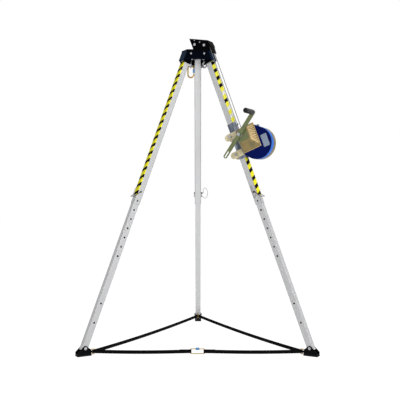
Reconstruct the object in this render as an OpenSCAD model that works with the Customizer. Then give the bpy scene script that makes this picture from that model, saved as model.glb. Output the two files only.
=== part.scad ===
// Rescue tripod: a folding head on three telescopic legs, with a hand winch on the right leg.
// Millimetres, +Z up. The origin is on the ground, under the middle of the object.

/* [Stance] */
// Angle of an open leg from the vertical, degrees
leg_tilt = 21.24; // [19.5:0.02:22.5]
// Distance of each leg pivot from the tripod axis
pivot_radius = 84; // [83:0.5:90]
// Length of a leg from its pivot to the foot pivot
leg_reach = 2226; // [2180:1:2280]
// Height of the foot pivot over the ground
foot_pivot_height = 54; // [52:0.5:60]

/* [Tubes] */
// Width of the upper tube across the leg
upper_width = 50; // [48:0.5:54]
// Depth of the upper tube
upper_depth = 50; // [48:0.5:51]
// Wall of the upper tube
upper_wall = 2.5; // [2:0.1:3]
// Outer corner radius of the upper tube
upper_corner = 6; // [4:0.5:8]
// Length of the upper tube
upper_length = 1190; // [1150:1:1220]
// Length of the upper tube above its pivot
upper_top = 12; // [10:0.5:13]
// Gap between the tubes on each side
slide_gap = 0.5; // [0.3:0.1:0.8]
// Wall of the lower tube
lower_wall = 3; // [2.5:0.1:4]
// Length of the lower tube held in the upper tube
lower_overlap = 185; // [160:1:220]
// Length of the lower tube below the foot pivot
lower_tail = 18; // [14:0.5:20]

/* [Pins] */
// Diameter of the leg pivot bolts and foot bolts
pivot_bolt = 12; // [10:0.5:12]
// Radial running clearance of a bolt or axle
running_fit = 0.05; // [0.03:0.01:0.1]
// Diameter of the locking pin
lock_pin_diameter = 12; // [10:0.5:12]
// Radial clearance of the locking pin in the lower tube
lock_clearance = 0.5; // [0.4:0.05:0.8]
// Distance of the locking pin from the end of the upper tube
lock_setback = 90; // [80:1:100]
// Spacing of the pin holes
hole_pitch = 68.5; // [66:0.5:70]
// Wire of the locking pin's bail
bail_wire = 4; // [3:0.5:5]
// Gap between the bail and the upper tube
bail_gap = 12; // [6:0.5:20]

/* [Head] */
// Thickness of the hub plate
plate_thickness = 10; // [8:0.5:12]
// Height of the hub plate over the leg pivots
plate_rise = 22; // [21:0.5:26]
// Wall of the skirt
skirt_wall = 5; // [3:0.5:5]
// Depth of the skirt
skirt_drop = 65; // [55:1:75]
// Distance of the skirt's end panels from the leg axes
skirt_reach = 39; // [39:0.5:44]
// Width of the skirt's end panels
panel_width = 80; // [80:0.5:90]
// Thickness of a clevis ear
ear_thickness = 8; // [6:0.5:8]
// Gap between an ear and the tube
ear_gap = 1.5; // [0.8:0.1:1.5]
// Opening for the rope in the middle of the hub
throat_diameter = 90; // [84:1:94]

/* [Pulleys] */
// Thickness of the pulley cheeks and the hood's sheet
cheek_thickness = 5; // [3:0.5:6]
// Half of the room between the cheeks
cheek_half_room = 33; // [32:0.5:35]
// Offset of each rope fall from the middle plane of the right leg
fall_offset = 23.5; // [22:0.5:24]
// Radius of the rope's centre line round a sheave
sheave_radius = 30; // [28:0.5:30.5]
// Width of a sheave
sheave_width = 14; // [10:0.5:14]
// Radius of the guide roller
roller_radius = 20; // [18:0.5:21]
// Diameter of the pulley axles
axle_diameter = 12; // [10:0.5:14]
// Diameter of the wire rope
rope_diameter = 5; // [4:0.5:5]

/* [Anchors] */
// Distance of the eye bolts from the tripod axis
eye_radius = 60; // [59:0.5:62]
// Inner radius of an eye
eye_inner = 15; // [14:0.5:17]
// Wire diameter of an eye
eye_wire = 12; // [10:0.5:13]
// Drop of the eye centre under the hub plate
eye_drop = 80; // [74:1:90]
// Outer length of the carabiner
carabiner_length = 98; // [90:1:110]
// Outer width of the carabiner
carabiner_width = 54; // [52:0.5:60]
// Wire diameter of the carabiner
carabiner_wire = 11; // [10:0.5:12]

/* [Feet] */
// Length of a foot
foot_length = 100; // [98:1:110]
// How far the middle of a foot lies outside its pivot
foot_offset = 4; // [2:0.5:6]
// Width of a foot
foot_width = 54; // [53.6:0.2:60]
// Thickness of the rubber pad
pad_thickness = 10; // [8:0.5:10]
// Thickness of the shoe's base
shoe_base = 6; // [4:0.5:6]
// Thickness of the shoe's cheeks
shoe_cheek = 4; // [3:0.1:4]
// Height of the shoe's cheeks at the toe
toe_rise = 26; // [20:0.5:32]
// Height of the shoe's cheeks at the heel
heel_rise = 40; // [30:0.5:44]

/* [Base strap] */
// Width of the webbing
web_width = 25; // [20:1:26]
// Thickness of the webbing
web_thickness = 2.5; // [2:0.1:3]
// Height of the webbing's middle at the front feet
web_height = 21.5; // [21.5:0.5:26]
// Height of the webbing's middle at the rear foot
web_height_rear = 52; // [48:0.5:56]
// Wire diameter of the strap rings and the quick link
ring_wire = 6; // [5:0.5:7]

/* [Winch] */
// Gap between the drum housing and the leg bracket
winch_clearance = 1.7; // [1.5:0.1:5]
// Place of the drum axis along the leg, under the leg pivot
drum_below = 775; // [740:1:800]
// Radius of the drum housing
housing_radius = 115; // [106:0.5:122]
// Depth of the drum housing
housing_depth = 36; // [35:0.5:40]
// Depth of the gear cover
cover_depth = 37; // [34:0.5:40]
// Sheet thickness of the covers
cover_wall = 3; // [2:0.5:4]
// Tooth module of the gears
tooth_module = 3; // [3:0.05:3.1]
// Gap between the drum gear and the gear cover
gear_clearance = 7; // [5:0.5:9]
// Teeth of the crank pinion
pinion_teeth = 14; // [13:1:15]
// Direction of the crank shaft from the drum axis, degrees
crank_bearing = 130.4; // [129:0.2:132]
// Depth of the brake cover
brake_depth = 50; // [45:1:60]
// Length of the crank arm from its shaft to the grip
crank_reach = 185; // [170:1:200]
// Direction of the crank arm at rest, degrees
crank_angle = 33; // [0:1:90]
// Width of the crank arm
crank_width = 30; // [26:1:34]
// Thickness of the crank arm
crank_thickness = 6; // [5:0.5:8]
// Diameter of the grip
grip_diameter = 36; // [32:1:40]
// Length of the grip
grip_length = 118; // [100:1:125]

/* [Hidden] */
$fn = 48;

// Legs in the order left, right, rear, by their direction from the tripod axis
leg_azimuth = [210, -30, 90];
left = 0;
right = 1;
rear = 2;

// Leg frame: x outward from the leg, y across it, z up the leg from the foot pivot
pivot_height = foot_pivot_height + leg_reach * cos(leg_tilt);
foot_radius = pivot_radius + leg_reach * sin(leg_tilt);
upper_end = leg_reach + upper_top - upper_length;
lower_width = upper_width - 2 * upper_wall - 2 * slide_gap;
lower_depth = upper_depth - 2 * upper_wall - 2 * slide_gap;
lower_corner = upper_corner - upper_wall;
lock_place = upper_end + lock_setback;
// Hole numbers counted down the lower tube from the pin
lower_holes = [0, 1, 2, 3, 4, 5, 6, 7, 12, 14];

// The ground box runs from the rear toe to the outer corners of the front toes
toe_radius = foot_radius + foot_offset + foot_length / 2;
axis_shift = -(toe_radius - toe_radius / 2 - foot_width / 2 * cos(30)) / 2;

plate_bottom = pivot_height + plate_rise;
plate_top = plate_bottom + plate_thickness;
skirt_bottom = plate_bottom - skirt_drop;
ear_inner = upper_width / 2 + ear_gap;
ear_outer = ear_inner + ear_thickness;
ear_low = 68;
ear_in = 24;
stop_gap = 0.3;
ear_out = skirt_reach * cos(leg_tilt) - skirt_wall - 1;
stop_low = 58;
stop_height = 16;
bolt_head = 7;
washer_gap = 0.3;

// Pulley block, in the upright plane of the right leg: along the leg's direction and over the plate
sheave_at = [78, sheave_radius + 4];
roller_at = [-2, 47];
sheave_rim = sheave_radius + rope_diameter / 2;
roller_rope = roller_radius + rope_diameter / 2;
cheek_outer = cheek_half_room + cheek_thickness;
hood_line = [[-50, 94], [104, 65], [121, 35], [132, 6], [142, -26]];
cheek_outline = [[-11, 0], hood_line[0], hood_line[1], hood_line[2], [122, 0]];
hood_sheet = 3;
hood_tail = fall_offset + 4;
spacer_length = 2 * fall_offset - sheave_width - 2 * washer_gap;
cheek_screws = [[-6, 79], [40, 60]];
cheek_screw = 5;
sheave_leg = to_leg(sheave_at);
rope_out = sheave_leg[0] + sheave_radius;

eye_mid = eye_inner + eye_wire / 2;
eye_height = plate_bottom - eye_drop;
eye_turn = [0, 45];
eye_azimuth = [150, 30];
eye_shank = 12;

link_gap = 0.7;
carabiner_bend = (carabiner_width - carabiner_wire) / 2;
carabiner_straight = carabiner_length - carabiner_width;
carabiner_top = eye_height - eye_mid + eye_wire / 2 + link_gap + carabiner_wire / 2;
carabiner_mid = carabiner_top - carabiner_bend - carabiner_straight / 2;
gate_radius = 4.5;
gate_gap = 0.6;
tang = 4.6;
sleeve_length = 26;

shoe_gap = 0.8;
shoe_inner = lower_width / 2 + shoe_gap;
shoe_top = pad_thickness + shoe_base;
apex_radius = 16;
ring_width = 30;
ring_bend = ring_wire / 2 + 0.5;
ring_height = web_width + 1 + ring_wire + 2 * ring_bend;
foot_heel = foot_radius + foot_offset - foot_length / 2;
lug_radius = foot_heel - 5;
strap_radius = lug_radius - ring_width + ring_wire;
web_heights = [web_height, web_height, web_height_rear];
link_length = 100;

bracket_gap = 0.3;
bracket_sheet = 4;
bracket_half = upper_width / 2 + bracket_gap + bracket_sheet;
bracket_face = upper_depth / 2 + bracket_gap + bracket_sheet;
drum_reach = bracket_face + housing_radius + winch_clearance;

drum_place = leg_reach - drum_below;
drum_teeth = floor(2 * (housing_radius - cover_wall - gear_clearance) / tooth_module - 2);
gear_pitch = tooth_module * drum_teeth / 2;
pinion_pitch = tooth_module * pinion_teeth / 2;
shaft_at = (gear_pitch + pinion_pitch) * [cos(crank_bearing), sin(crank_bearing)];
frame_plate = 3;
plate_front = -1;
plate_back = plate_front - frame_plate;
housing_back = plate_back - housing_depth;
cover_front = plate_front + cover_depth;
brake_front = cover_front + brake_depth;
nose_reach = housing_radius + 31;
nose_radius = 5;
lobe_radius = pinion_pitch + tooth_module + 3 + cover_wall;
gear_back = 8;
gear_thickness = 14;
drum_axle_diameter = 20;
shaft_diameter = 16;
crank_back = brake_front + 6;
// Radius of the rope's centre line where it leaves the drum
lead_radius = drum_reach - rope_out;
winding_radius = lead_radius - rope_diameter / 2 - 0.5;
drum_back = housing_back + cover_wall + 0.6;
drum_front = plate_back - 0.6;
flange_radius = winding_radius + 9;
flange = 3;
core_radius = 45;

bracket_low = -56;
bracket_length = 270;
clamp_places = [-14, 124];
clamp_pin = 10;
clamp_pin_in = upper_depth / 2 + clamp_pin / 2 + 1.5;
park_place = bracket_low + bracket_length - 26;
post_diameter = 10;
eye_wire_park = 5;
post_gap = 0.3;

aluminium = [0.82, 0.83, 0.85];
black = [0.1, 0.1, 0.11];
zinc = [0.76, 0.78, 0.8];
gold = [0.8, 0.68, 0.36];
blue = [0.12, 0.32, 0.6];

// Place of a point of the pulley block in the right leg's frame, as outward and along
function to_leg(p) = let (
    across = p[0] - pivot_radius,
    rise = plate_top + p[1] - pivot_height
) [
    across * cos(leg_tilt) + rise * sin(leg_tilt),
    leg_reach - across * sin(leg_tilt) + rise * cos(leg_tilt)
];

// Corner points of the six-sided head at a height, grown by a margin
function head_outline(height, margin) = let (
    reach = pivot_radius + (pivot_height - height) * tan(leg_tilt) + skirt_reach + margin,
    half = panel_width / 2 + margin * tan(30)
) [
    for (azimuth = [-30, 90, 210], side = [-1, 1])
        reach * [cos(azimuth), sin(azimuth)] + side * half * [-sin(azimuth), cos(azimuth)]
];

// Outline of a bent sheet that lies on the left of a line of points
function sheet_outline(line, sheet) = concat(line, [
    for (i = [len(line) - 1 : -1 : 0]) line[i] + sheet * mitre(line, i)
]);
function side_of(a, b) = let (d = (b - a) / norm(b - a)) [-d[1], d[0]];
function mitre(line, i) = let (
    before = side_of(line[max(i, 1) - 1], line[max(i, 1)]),
    after = side_of(line[min(i, len(line) - 2)], line[min(i, len(line) - 2) + 1]),
    both = before + after
) both * 2 / (both * both);

function unit(v) = v / norm(v);
function heading(line, i) = unit(line[min(i + 1, len(line) - 1)] - line[max(i - 1, 0)]);
// A normal carried along the line without twisting
function carried(line, i, start) = i == 0
    ? unit(start - heading(line, 0) * (start * heading(line, 0)))
    : let (n = carried(line, i - 1, start), t = heading(line, i)) unit(n - t * (n * t));

// One involute tooth flank point at a radius: its angle from the tooth's middle
function involute(a) = tan(a) * 180 / PI - a;
function flank(radius, pitch, base, half) = let (
    at = radius > base ? acos(base / radius) : 0
) half + involute(acos(base / pitch)) - involute(at);

// Outline of a gear with involute teeth and a named slack on each flank
tooth_slack = 0.2;
pressure = 25;
function gear_outline(teeth) = let (
    pitch = tooth_module * teeth / 2,
    base = pitch * cos(pressure),
    root = pitch - 1.2 * tooth_module,
    tip = pitch + 0.9 * tooth_module,
    half = 90 / teeth - tooth_slack / pitch * 180 / PI,
    low = max(root, base),
    rise = [for (k = [0 : 4]) low + (tip - low) * k / 4]
) [
    for (tooth = [0 : teeth - 1]) let (middle = tooth * 360 / teeth) each concat(
        [polar(root, middle - flank(low, pitch, base, half) - 0.2)],
        [for (r = rise) polar(r, middle - flank(r, pitch, base, half))],
        [for (k = [4 : -1 : 0]) polar(rise[k], middle + flank(rise[k], pitch, base, half))],
        [polar(root, middle + flank(low, pitch, base, half) + 0.2)]
    )
];
function polar(r, a) = r * [cos(a), sin(a)];

module on_axis() {
    translate([0, axis_shift, 0]) children();
}

// Upright plane of a leg: x outward from the tripod axis, y across, z up
module on_spoke(leg) {
    on_axis() rotate([0, 0, leg_azimuth[leg]]) children();
}

module on_leg(leg) {
    on_spoke(leg) translate([foot_radius, 0, foot_pivot_height]) rotate([0, -leg_tilt, 0]) children();
}

// Pulley block: x outward, y up from the plate, z towards the front of the right leg
module on_block() {
    on_spoke(right) translate([0, 0, plate_top]) rotate([90, 0, 0]) children();
}

// Winch: x outward from the leg, y up the leg, z along the drum axis to the crank side
module on_winch() {
    on_leg(right) translate([drum_reach, 0, drum_place]) rotate([90, 0, 0]) children();
}

module across(diameter, length) {
    rotate([90, 0, 0]) cylinder(d = diameter, h = length, center = true);
}

module rounded(size, radius) {
    square([size[0] - 2 * radius, size[1]], center = true);
    square([size[0], size[1] - 2 * radius], center = true);
    for (x = [-1, 1], y = [-1, 1])
        translate([x * (size[0] / 2 - radius), y * (size[1] / 2 - radius)]) circle(radius);
}

module tube_shape(size, radius, wall) {
    difference() {
        rounded(size, radius);
        rounded(size - 2 * [wall, wall], max(radius - wall, 0.5));
    }
}

// A round tube swept along a line of points
module sweep(line, diameter, sides, start) {
    rings = len(line);
    points = [
        for (i = [0 : rings - 1]) let (n = carried(line, i, start), b = cross(heading(line, i), n))
            for (k = [0 : sides - 1]) let (a = k * 360 / sides)
                line[i] + diameter / 2 * (cos(a) * n + sin(a) * b)
    ];
    walls = [
        for (i = [0 : rings - 2], k = [0 : sides - 1]) let (
            a = i * sides + k,
            b = i * sides + (k + 1) % sides
        ) each [[a, a + sides, b], [b, a + sides, b + sides]]
    ];
    caps = [[for (k = [0 : sides - 1]) k], [for (k = [sides - 1 : -1 : 0]) (rings - 1) * sides + k]];
    polyhedron(points, concat(walls, caps));
}

module torus(mid, wire, angle = 360) {
    rotate_extrude(angle = angle) translate([mid, 0]) circle(d = wire);
}

// A hexagon bolt along z: head on the positive side, nut on the other
module bolt(diameter, grip) {
    cylinder(d = diameter, h = grip, center = true);
    translate([0, 0, grip / 2]) cylinder(d = 1.8 * diameter, h = bolt_head, $fn = 6);
    translate([0, 0, -grip / 2 - bolt_head]) cylinder(d = 1.8 * diameter, h = bolt_head, $fn = 6);
}

// Head

module hub() {
    color(black) difference() {
        union() {
            on_axis() translate([0, 0, plate_bottom]) linear_extrude(plate_thickness)
                polygon(head_outline(plate_bottom, 0));
            for (leg = [left, right, rear]) on_leg(leg) ears();
        }
        on_axis() translate([0, 0, plate_bottom - 1])
            cylinder(d = throat_diameter, h = plate_thickness + 60);
        on_axis() translate([-200, -200, plate_top]) cube([400, 400, 200]);
        for (leg = [left, right, rear]) on_leg(leg) translate([0, 0, leg_reach])
            across(pivot_bolt, 4 * upper_width);
        for (azimuth = eye_azimuth) on_axis() rotate([0, 0, azimuth])
            translate([eye_radius, 0, plate_bottom - 1]) cylinder(d = eye_shank, h = plate_thickness + 2);
    }
}

module ears() {
    for (side = [-1, 1]) translate([0, side * (ear_inner + ear_outer) / 2, leg_reach - ear_low])
        translate([-ear_in, -ear_thickness / 2, 0])
            cube([ear_in + ear_out, ear_thickness, ear_low + plate_rise + 10]);
    translate([upper_depth / 2 + stop_gap, -ear_inner - 1, leg_reach - stop_low])
        cube([ear_out - upper_depth / 2 - stop_gap, 2 * ear_inner + 2, stop_height]);
}

module skirt() {
    color([0.09, 0.1, 0.14]) on_axis() difference() {
        skirt_solid(0);
        skirt_solid(-skirt_wall);
        for (x = bolt_spread) translate([x, 0, bolt_height]) across(bolt_size, 600);
    }
}

// Bolts of the front panel, level with the leg pivots
bolt_size = 8;
bolt_height = pivot_height - 2;
bolt_spread = [-48, 48];

module skirt_solid(margin) {
    low = margin < 0 ? -1 : 0;
    hull() {
        translate([0, 0, skirt_bottom + low]) linear_extrude(0.01)
            polygon(head_outline(skirt_bottom + low, margin));
        translate([0, 0, plate_bottom - 0.01 - low]) linear_extrude(0.01)
            polygon(head_outline(plate_bottom - low, margin));
    }
}

module pulley_cheeks() {
    color(black) on_block() for (side = [-1, 1])
        translate([0, 0, side > 0 ? cheek_half_room : -cheek_outer]) linear_extrude(cheek_thickness)
            difference() {
                polygon(cheek_outline);
                translate(sheave_at) circle(d = axle_diameter);
                translate(roller_at) circle(d = axle_diameter);
                for (screw = cheek_screws) translate(screw) circle(d = cheek_screw);
            }
}

module pulley_hood() {
    color(black) on_block() difference() {
        translate([0, 0, -cheek_outer]) linear_extrude(2 * cheek_outer)
            polygon(sheet_outline(hood_line, hood_sheet));
        for (low = [-2 * hood_tail, hood_tail]) translate([hood_line[2][0] - 10, -100, low])
            cube([100, 100 + hood_line[2][1] - 10, hood_tail]);
    }
}

module sheave_axles() {
    color(zinc) on_block() {
        for (axle = [sheave_at, roller_at]) translate(axle) bolt(axle_diameter, 2 * cheek_outer);
        translate(sheave_at) difference() {
            cylinder(d = axle_diameter + 8, h = spacer_length, center = true);
            cylinder(d = axle_diameter, h = 4 * fall_offset, center = true);
        }
    }
}

module head_bolts() {
    color(zinc) {
        on_block() for (screw = cheek_screws, side = [0, 180]) rotate([0, side, 0])
            translate([side > 0 ? -screw[0] : screw[0], screw[1], cheek_half_room]) {
                cylinder(d = cheek_screw, h = cheek_thickness);
                translate([0, 0, cheek_thickness]) cylinder(d = 1.8 * cheek_screw, h = 3, $fn = 6);
            }
        on_axis() for (x = bolt_spread) translate([x, 0, bolt_height]) rotate([90, 0, 0])
            translate([0, 0, front_face - skirt_wall / 2]) bolt(bolt_size, skirt_wall + 4);
    }
}

// Distance of the front panel from the tripod axis at the bolts
front_face = -head_outline(bolt_height, 0)[0][1];

module pivot_bolts() {
    color(zinc) for (leg = [left, right, rear]) on_leg(leg) translate([0, 0, leg_reach])
        rotate([90, 0, 0]) bolt(pivot_bolt, 2 * ear_outer);
}

module eye_bolts() {
    color(zinc) for (k = [0, 1]) on_axis() rotate([0, 0, eye_azimuth[k]]) translate([eye_radius, 0, 0])
        rotate([0, 0, eye_turn[k] - eye_azimuth[k]]) {
            translate([0, 0, eye_height]) rotate([0, 90, 0]) torus(eye_mid, eye_wire);
            translate([0, 0, eye_height + eye_mid])
                cylinder(d = eye_shank, h = plate_top + 12 - eye_height - eye_mid);
            translate([0, 0, plate_bottom - 4]) cylinder(d = 22, h = 4);
            translate([0, 0, plate_top]) cylinder(d = 21, h = 10, $fn = 6);
        }
}

module sheave(side) {
    color([0.3, 0.3, 0.32]) on_block() translate([sheave_at[0], sheave_at[1], side * fall_offset])
        rotate_extrude() difference() {
            translate([axle_diameter / 2 + running_fit, -sheave_width / 2])
                square([sheave_rim - axle_diameter / 2 - running_fit, sheave_width]);
            translate([sheave_radius, 0]) circle(d = rope_diameter + 1);
            translate([sheave_radius, -rope_diameter / 2 - 0.5]) square([sheave_rim, rope_diameter + 1]);
        }
}

module sheave_near() {
    sheave(1);
}

module sheave_far() {
    sheave(-1);
}

module guide_roller() {
    color([0.3, 0.3, 0.32]) on_block() translate(roller_at) difference() {
        cylinder(r = roller_radius - 0.3, h = 2 * (cheek_half_room - washer_gap), center = true);
        cylinder(d = axle_diameter + 2 * running_fit, h = 4 * cheek_half_room, center = true);
    }
}

// Carabiner under the left eye: x across it, z up, gate on the right

module on_carabiner() {
    on_axis() rotate([0, 0, eye_azimuth[0]]) translate([eye_radius, 0, carabiner_mid])
        rotate([0, 0, -eye_azimuth[0]]) children();
}

module carabiner_body() {
    half = carabiner_straight / 2;
    color(gold) on_carabiner() difference() {
        union() {
            for (up = [0, 180]) rotate([0, up, 0]) translate([0, 0, half]) rotate([90, 0, 0])
                torus(carabiner_bend, carabiner_wire, 180);
            translate([-carabiner_bend, 0, 0]) cylinder(d = carabiner_wire, h = 2 * half, center = true);
            translate([carabiner_bend, 0, -half]) cylinder(d = carabiner_wire, h = 5.2);
            translate([carabiner_bend, 0, -half + 3]) across(3, carabiner_wire);
        }
        difference() {
            translate([carabiner_bend - carabiner_wire, -tang / 2 - 0.2, -half - 2])
                cube([2 * carabiner_wire, tang + 0.4, 14]);
            translate([carabiner_bend, 0, -half + 3]) across(3, carabiner_wire);
        }
    }
}

module carabiner_gate() {
    half = carabiner_straight / 2;
    color(zinc) on_carabiner() difference() {
        union() {
            translate([carabiner_bend, 0, -half + 9]) cylinder(r = gate_radius, h = 2 * half - 9 - gate_gap);
            translate([carabiner_bend - 3, -tang / 2, -half + 3]) cube([6, tang, 10]);
            translate([carabiner_bend, 0, -half + 3]) across(6, tang);
        }
        translate([carabiner_bend, 0, -half + 3]) across(3 + 2 * running_fit, 20);
    }
}

module carabiner_sleeve() {
    half = carabiner_straight / 2;
    low = half - gate_gap - 2 - sleeve_length;
    color(blue) on_carabiner() translate([carabiner_bend, 0, low]) difference() {
        cylinder(r = gate_radius + 3, h = sleeve_length);
        translate([0, 0, -1]) cylinder(r = gate_radius + running_fit, h = sleeve_length + 2);
    }
}

// Legs

module upper_tube(leg) {
    color(aluminium) on_leg(leg) difference() {
        union() {
            translate([0, 0, upper_end]) linear_extrude(upper_length)
                tube_shape([upper_depth, upper_width], upper_corner, upper_wall);
            translate([0, -upper_width / 2 - lanyard_screw, lock_place + lanyard_rise])
                rotate([-90, 0, 0]) cylinder(d = 8, h = lanyard_screw + 1);
        }
        translate([0, 0, leg_reach]) across(pivot_bolt + 2 * running_fit, 2 * upper_width);
        for (k = [0, 1]) translate([0, 0, lock_place - k * hole_pitch])
            across(lock_pin_diameter + 2 * running_fit, 2 * upper_width);
    }
}

module lower_tube(leg) {
    color(aluminium) on_leg(leg) difference() {
        translate([0, 0, -lower_tail]) linear_extrude(upper_end + lower_overlap + lower_tail)
            tube_shape([lower_depth, lower_width], lower_corner, lower_wall);
        across(pivot_bolt + 2 * running_fit, 2 * upper_width);
        for (k = lower_holes) translate([0, 0, lock_place - k * hole_pitch])
            across(lock_pin_diameter + 2 * lock_clearance, 2 * upper_width);
    }
}

bail_angle = 51;
// Reach of the bail from the pin axis, past the tube's outward face
bail_reach = (upper_depth / 2 + bail_wire / 2 + bail_gap) / cos(bail_angle);
bail_half = upper_width / 2 + 5;
pin_head = 5;
pin_half = bail_half + bail_wire / 2 + 1;

module lock_pin(leg) {
    color([0.55, 0.42, 0.24]) on_leg(leg) translate([0, 0, lock_place]) {
        across(lock_pin_diameter, 2 * pin_half);
        translate([0, -pin_half - pin_head / 2, 0]) across(lock_pin_diameter + 3, pin_head);
        rotate([0, bail_angle, 0]) {
            for (side = [-1, 1]) translate([0, side * bail_half, 0]) rotate([0, 90, 0])
                cylinder(d = bail_wire, h = bail_reach);
            for (side = [-1, 1]) translate([bail_reach, side * bail_half, 0]) sphere(d = bail_wire);
            translate([bail_reach, 0, 0]) across(bail_wire, 2 * bail_half);
        }
    }
}

// Lanyard from a screw under the pin to the pin's head: outward, past the tube's side, up from the pin
lanyard_wire = 3;
lanyard_screw = 3;
lanyard_rise = -24;
lanyard_route = [
    [0, 0, -24], [0, -4, -24], [1, -10, -31], [2, -19, -42], [3, -30, -47], [4, -42, -40], [5, -49, -22],
    [5, -51, 0], [5, -47, 22], [4, -38, 38], [3, -28, 43], [2, -19, 36], [1, -15, 24], [1, -16, 10],
    [0, -8, 0], [0, 0, 0]
];
lanyard_start = upper_width / 2 + lanyard_screw;
lanyard_finish = pin_half + pin_head;
lanyard_line = [
    for (i = [0 : len(lanyard_route) - 1]) let (p = lanyard_route[i])
        [p[0], p[1] - (i < len(lanyard_route) - 2 ? lanyard_start : lanyard_finish), p[2]]
];

module pin_lanyard(leg) {
    color(zinc) on_leg(leg) translate([0, 0, lock_place]) sweep(lanyard_line, lanyard_wire, 8, [1, 0, 0]);
}

// Feet

module on_foot(leg) {
    on_spoke(leg) translate([foot_radius, 0, 0]) children();
}

module foot_pad(leg) {
    color([0.14, 0.14, 0.14]) on_foot(leg) translate([foot_offset, 0, 0]) linear_extrude(pad_thickness)
        rounded([foot_length, foot_width], 4);
}

module foot_shoe(leg) {
    color(black) {
        on_foot(leg) difference() {
            union() {
                translate([foot_offset, 0, pad_thickness]) linear_extrude(shoe_base)
                    rounded([foot_length - 4, foot_width], 4);
                for (side = [-1, 1]) translate([0, side * (shoe_inner + shoe_cheek / 2), 0])
                    rotate([90, 0, 0]) linear_extrude(shoe_cheek, center = true) cheek_shape();
            }
            translate([0, 0, foot_pivot_height]) across(pivot_bolt, 2 * upper_width);
        }
        strap_lug(leg);
    }
}

// Where a line from a corner of a cheek meets the round of its apex
function apex_touch(corner, side) = let (away = corner - [0, foot_pivot_height])
    polar(apex_radius, atan2(away[1], away[0]) + side * acos(apex_radius / norm(away))) + [0, foot_pivot_height];

module cheek_shape() {
    heel = foot_heel - foot_radius + 2;
    toe = toe_radius - foot_radius - 2;
    translate([0, foot_pivot_height]) circle(apex_radius);
    polygon([
        [heel, shoe_top - 1], [toe, shoe_top - 1], [toe, toe_rise],
        apex_touch([toe, toe_rise], 1), apex_touch([heel, heel_rise], -1), [heel, heel_rise]
    ]);
}

// Knuckle at the inner end of the shoe, which holds the strap ring's outer bar
lug_height = 12;

module strap_lug(leg) {
    middle = web_heights[leg];
    base = min(shoe_top - shoe_base, middle - lug_height / 2);
    on_spoke(leg) difference() {
        union() {
            translate([lug_radius, 0, middle - lug_height / 2]) cylinder(d = ring_wire + 8, h = lug_height);
            translate([lug_radius, -ring_wire, base])
                cube([foot_heel + 8 - lug_radius, 2 * ring_wire, middle + lug_height / 2 - base]);
        }
        translate([lug_radius, 0, 0]) cylinder(d = ring_wire + 2 * running_fit, h = 200);
        translate([foot_heel + 2, -50, -1]) cube([100, 100, shoe_top + 1]);
        translate([foot_heel - 0.01, -50, -1]) cube([100, 100, pad_thickness + 1]);
    }
}

module foot_bolt(leg) {
    color(zinc) on_foot(leg) translate([0, 0, foot_pivot_height]) rotate([90, 0, 0])
        bolt(pivot_bolt, 2 * (shoe_inner + shoe_cheek));
}

module strap_ring(leg) {
    color(gold) on_spoke(leg) translate([lug_radius - (ring_width - ring_wire) / 2, 0, web_heights[leg]])
        rotate([90, 0, 0]) link_shape(ring_width, ring_height, ring_wire, ring_bend);
}

// A rounded oblong link of round wire, in the x and y directions
module link_shape(length, height, wire, bend) {
    x = length / 2 - wire / 2 - bend;
    y = height / 2 - wire / 2 - bend;
    for (turn = [[1, 1, 0], [-1, 1, 90], [-1, -1, 180], [1, -1, 270]])
        translate([turn[0] * x, turn[1] * y, 0]) rotate([0, 0, turn[2]]) torus(bend, wire, 90);
    for (side = [-1, 1]) {
        translate([side * (x + bend), 0, 0]) rotate([90, 0, 0]) cylinder(d = wire, h = 2 * y, center = true);
        if (x > 0)
            translate([0, side * (y + bend), 0]) rotate([0, 90, 0])
                cylinder(d = wire, h = 2 * x, center = true);
    }
}

// Base strap: each leg holds one bend of the webbing, from the middle of one run to the middle of the next

web_gap = 0.3;
loop_inner = ring_wire / 2 + web_gap;
loop_outer = loop_inner + web_thickness;
function strap_end(leg) = concat(
    strap_radius * [cos(leg_azimuth[leg]), sin(leg_azimuth[leg])], [web_heights[leg]]
);
link_end = link_length / 2 + 1;
function strap_meet(a, b) = let (middle = (strap_end(a) + strap_end(b)) / 2)
    a + b == left + right ? middle - [sign(strap_end(b)[0] - strap_end(a)[0]) * link_end, 0, 0] : middle;

module base_strap(leg) {
    start = strap_end(leg);
    color(black) on_axis() difference() {
        union() {
            translate(start - [0, 0, web_width / 2]) cylinder(r = loop_outer, h = web_width);
            for (other = [left, right, rear]) if (other != leg) {
                finish = strap_meet(leg, other);
                web_run(start, finish);
                if (leg + other == left + right)
                    translate(finish + [sign(-start[0]) * link_loop, 0, -web_width / 2])
                        cylinder(r = loop_outer, h = web_width);
            }
        }
        translate([start[0], start[1], -1]) cylinder(r = loop_inner, h = 200);
        for (side = [-1, 1]) translate([side * (link_length / 2 - ring_wire / 2), start[1], -1])
            cylinder(r = loop_inner, h = 200);
    }
}

link_loop = 1 + ring_wire / 2;

// A length of webbing on edge between two points
module web_run(a, b) {
    across_run = web_thickness / 2 * concat(side_of([a[0], a[1]], [b[0], b[1]]), [0]);
    up = [0, 0, web_width / 2];
    polyhedron(
        [for (end = [a, b]) each [end - across_run - up, end + across_run - up, end + across_run + up,
            end - across_run + up]],
        [[0, 1, 2, 3], [7, 6, 5, 4], [0, 4, 5, 1], [1, 5, 6, 2], [2, 6, 7, 3], [3, 7, 4, 0]]
    );
}

module on_link() {
    on_axis() translate([0, strap_end(left)[1], web_height]) rotate([90, 0, 0]) children();
}

nut_length = 26;
nut_radius = 9;

module quick_link() {
    color(zinc) on_link() difference() {
        link_shape(link_length, ring_height, ring_wire, ring_bend);
        translate([0, ring_height / 2 - ring_wire / 2, 0]) rotate([0, 90, 0])
            difference() {
                cylinder(r = ring_wire, h = 6, center = true);
                cylinder(r = ring_wire / 2 - 0.6, h = 8, center = true);
            }
    }
}

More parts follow.
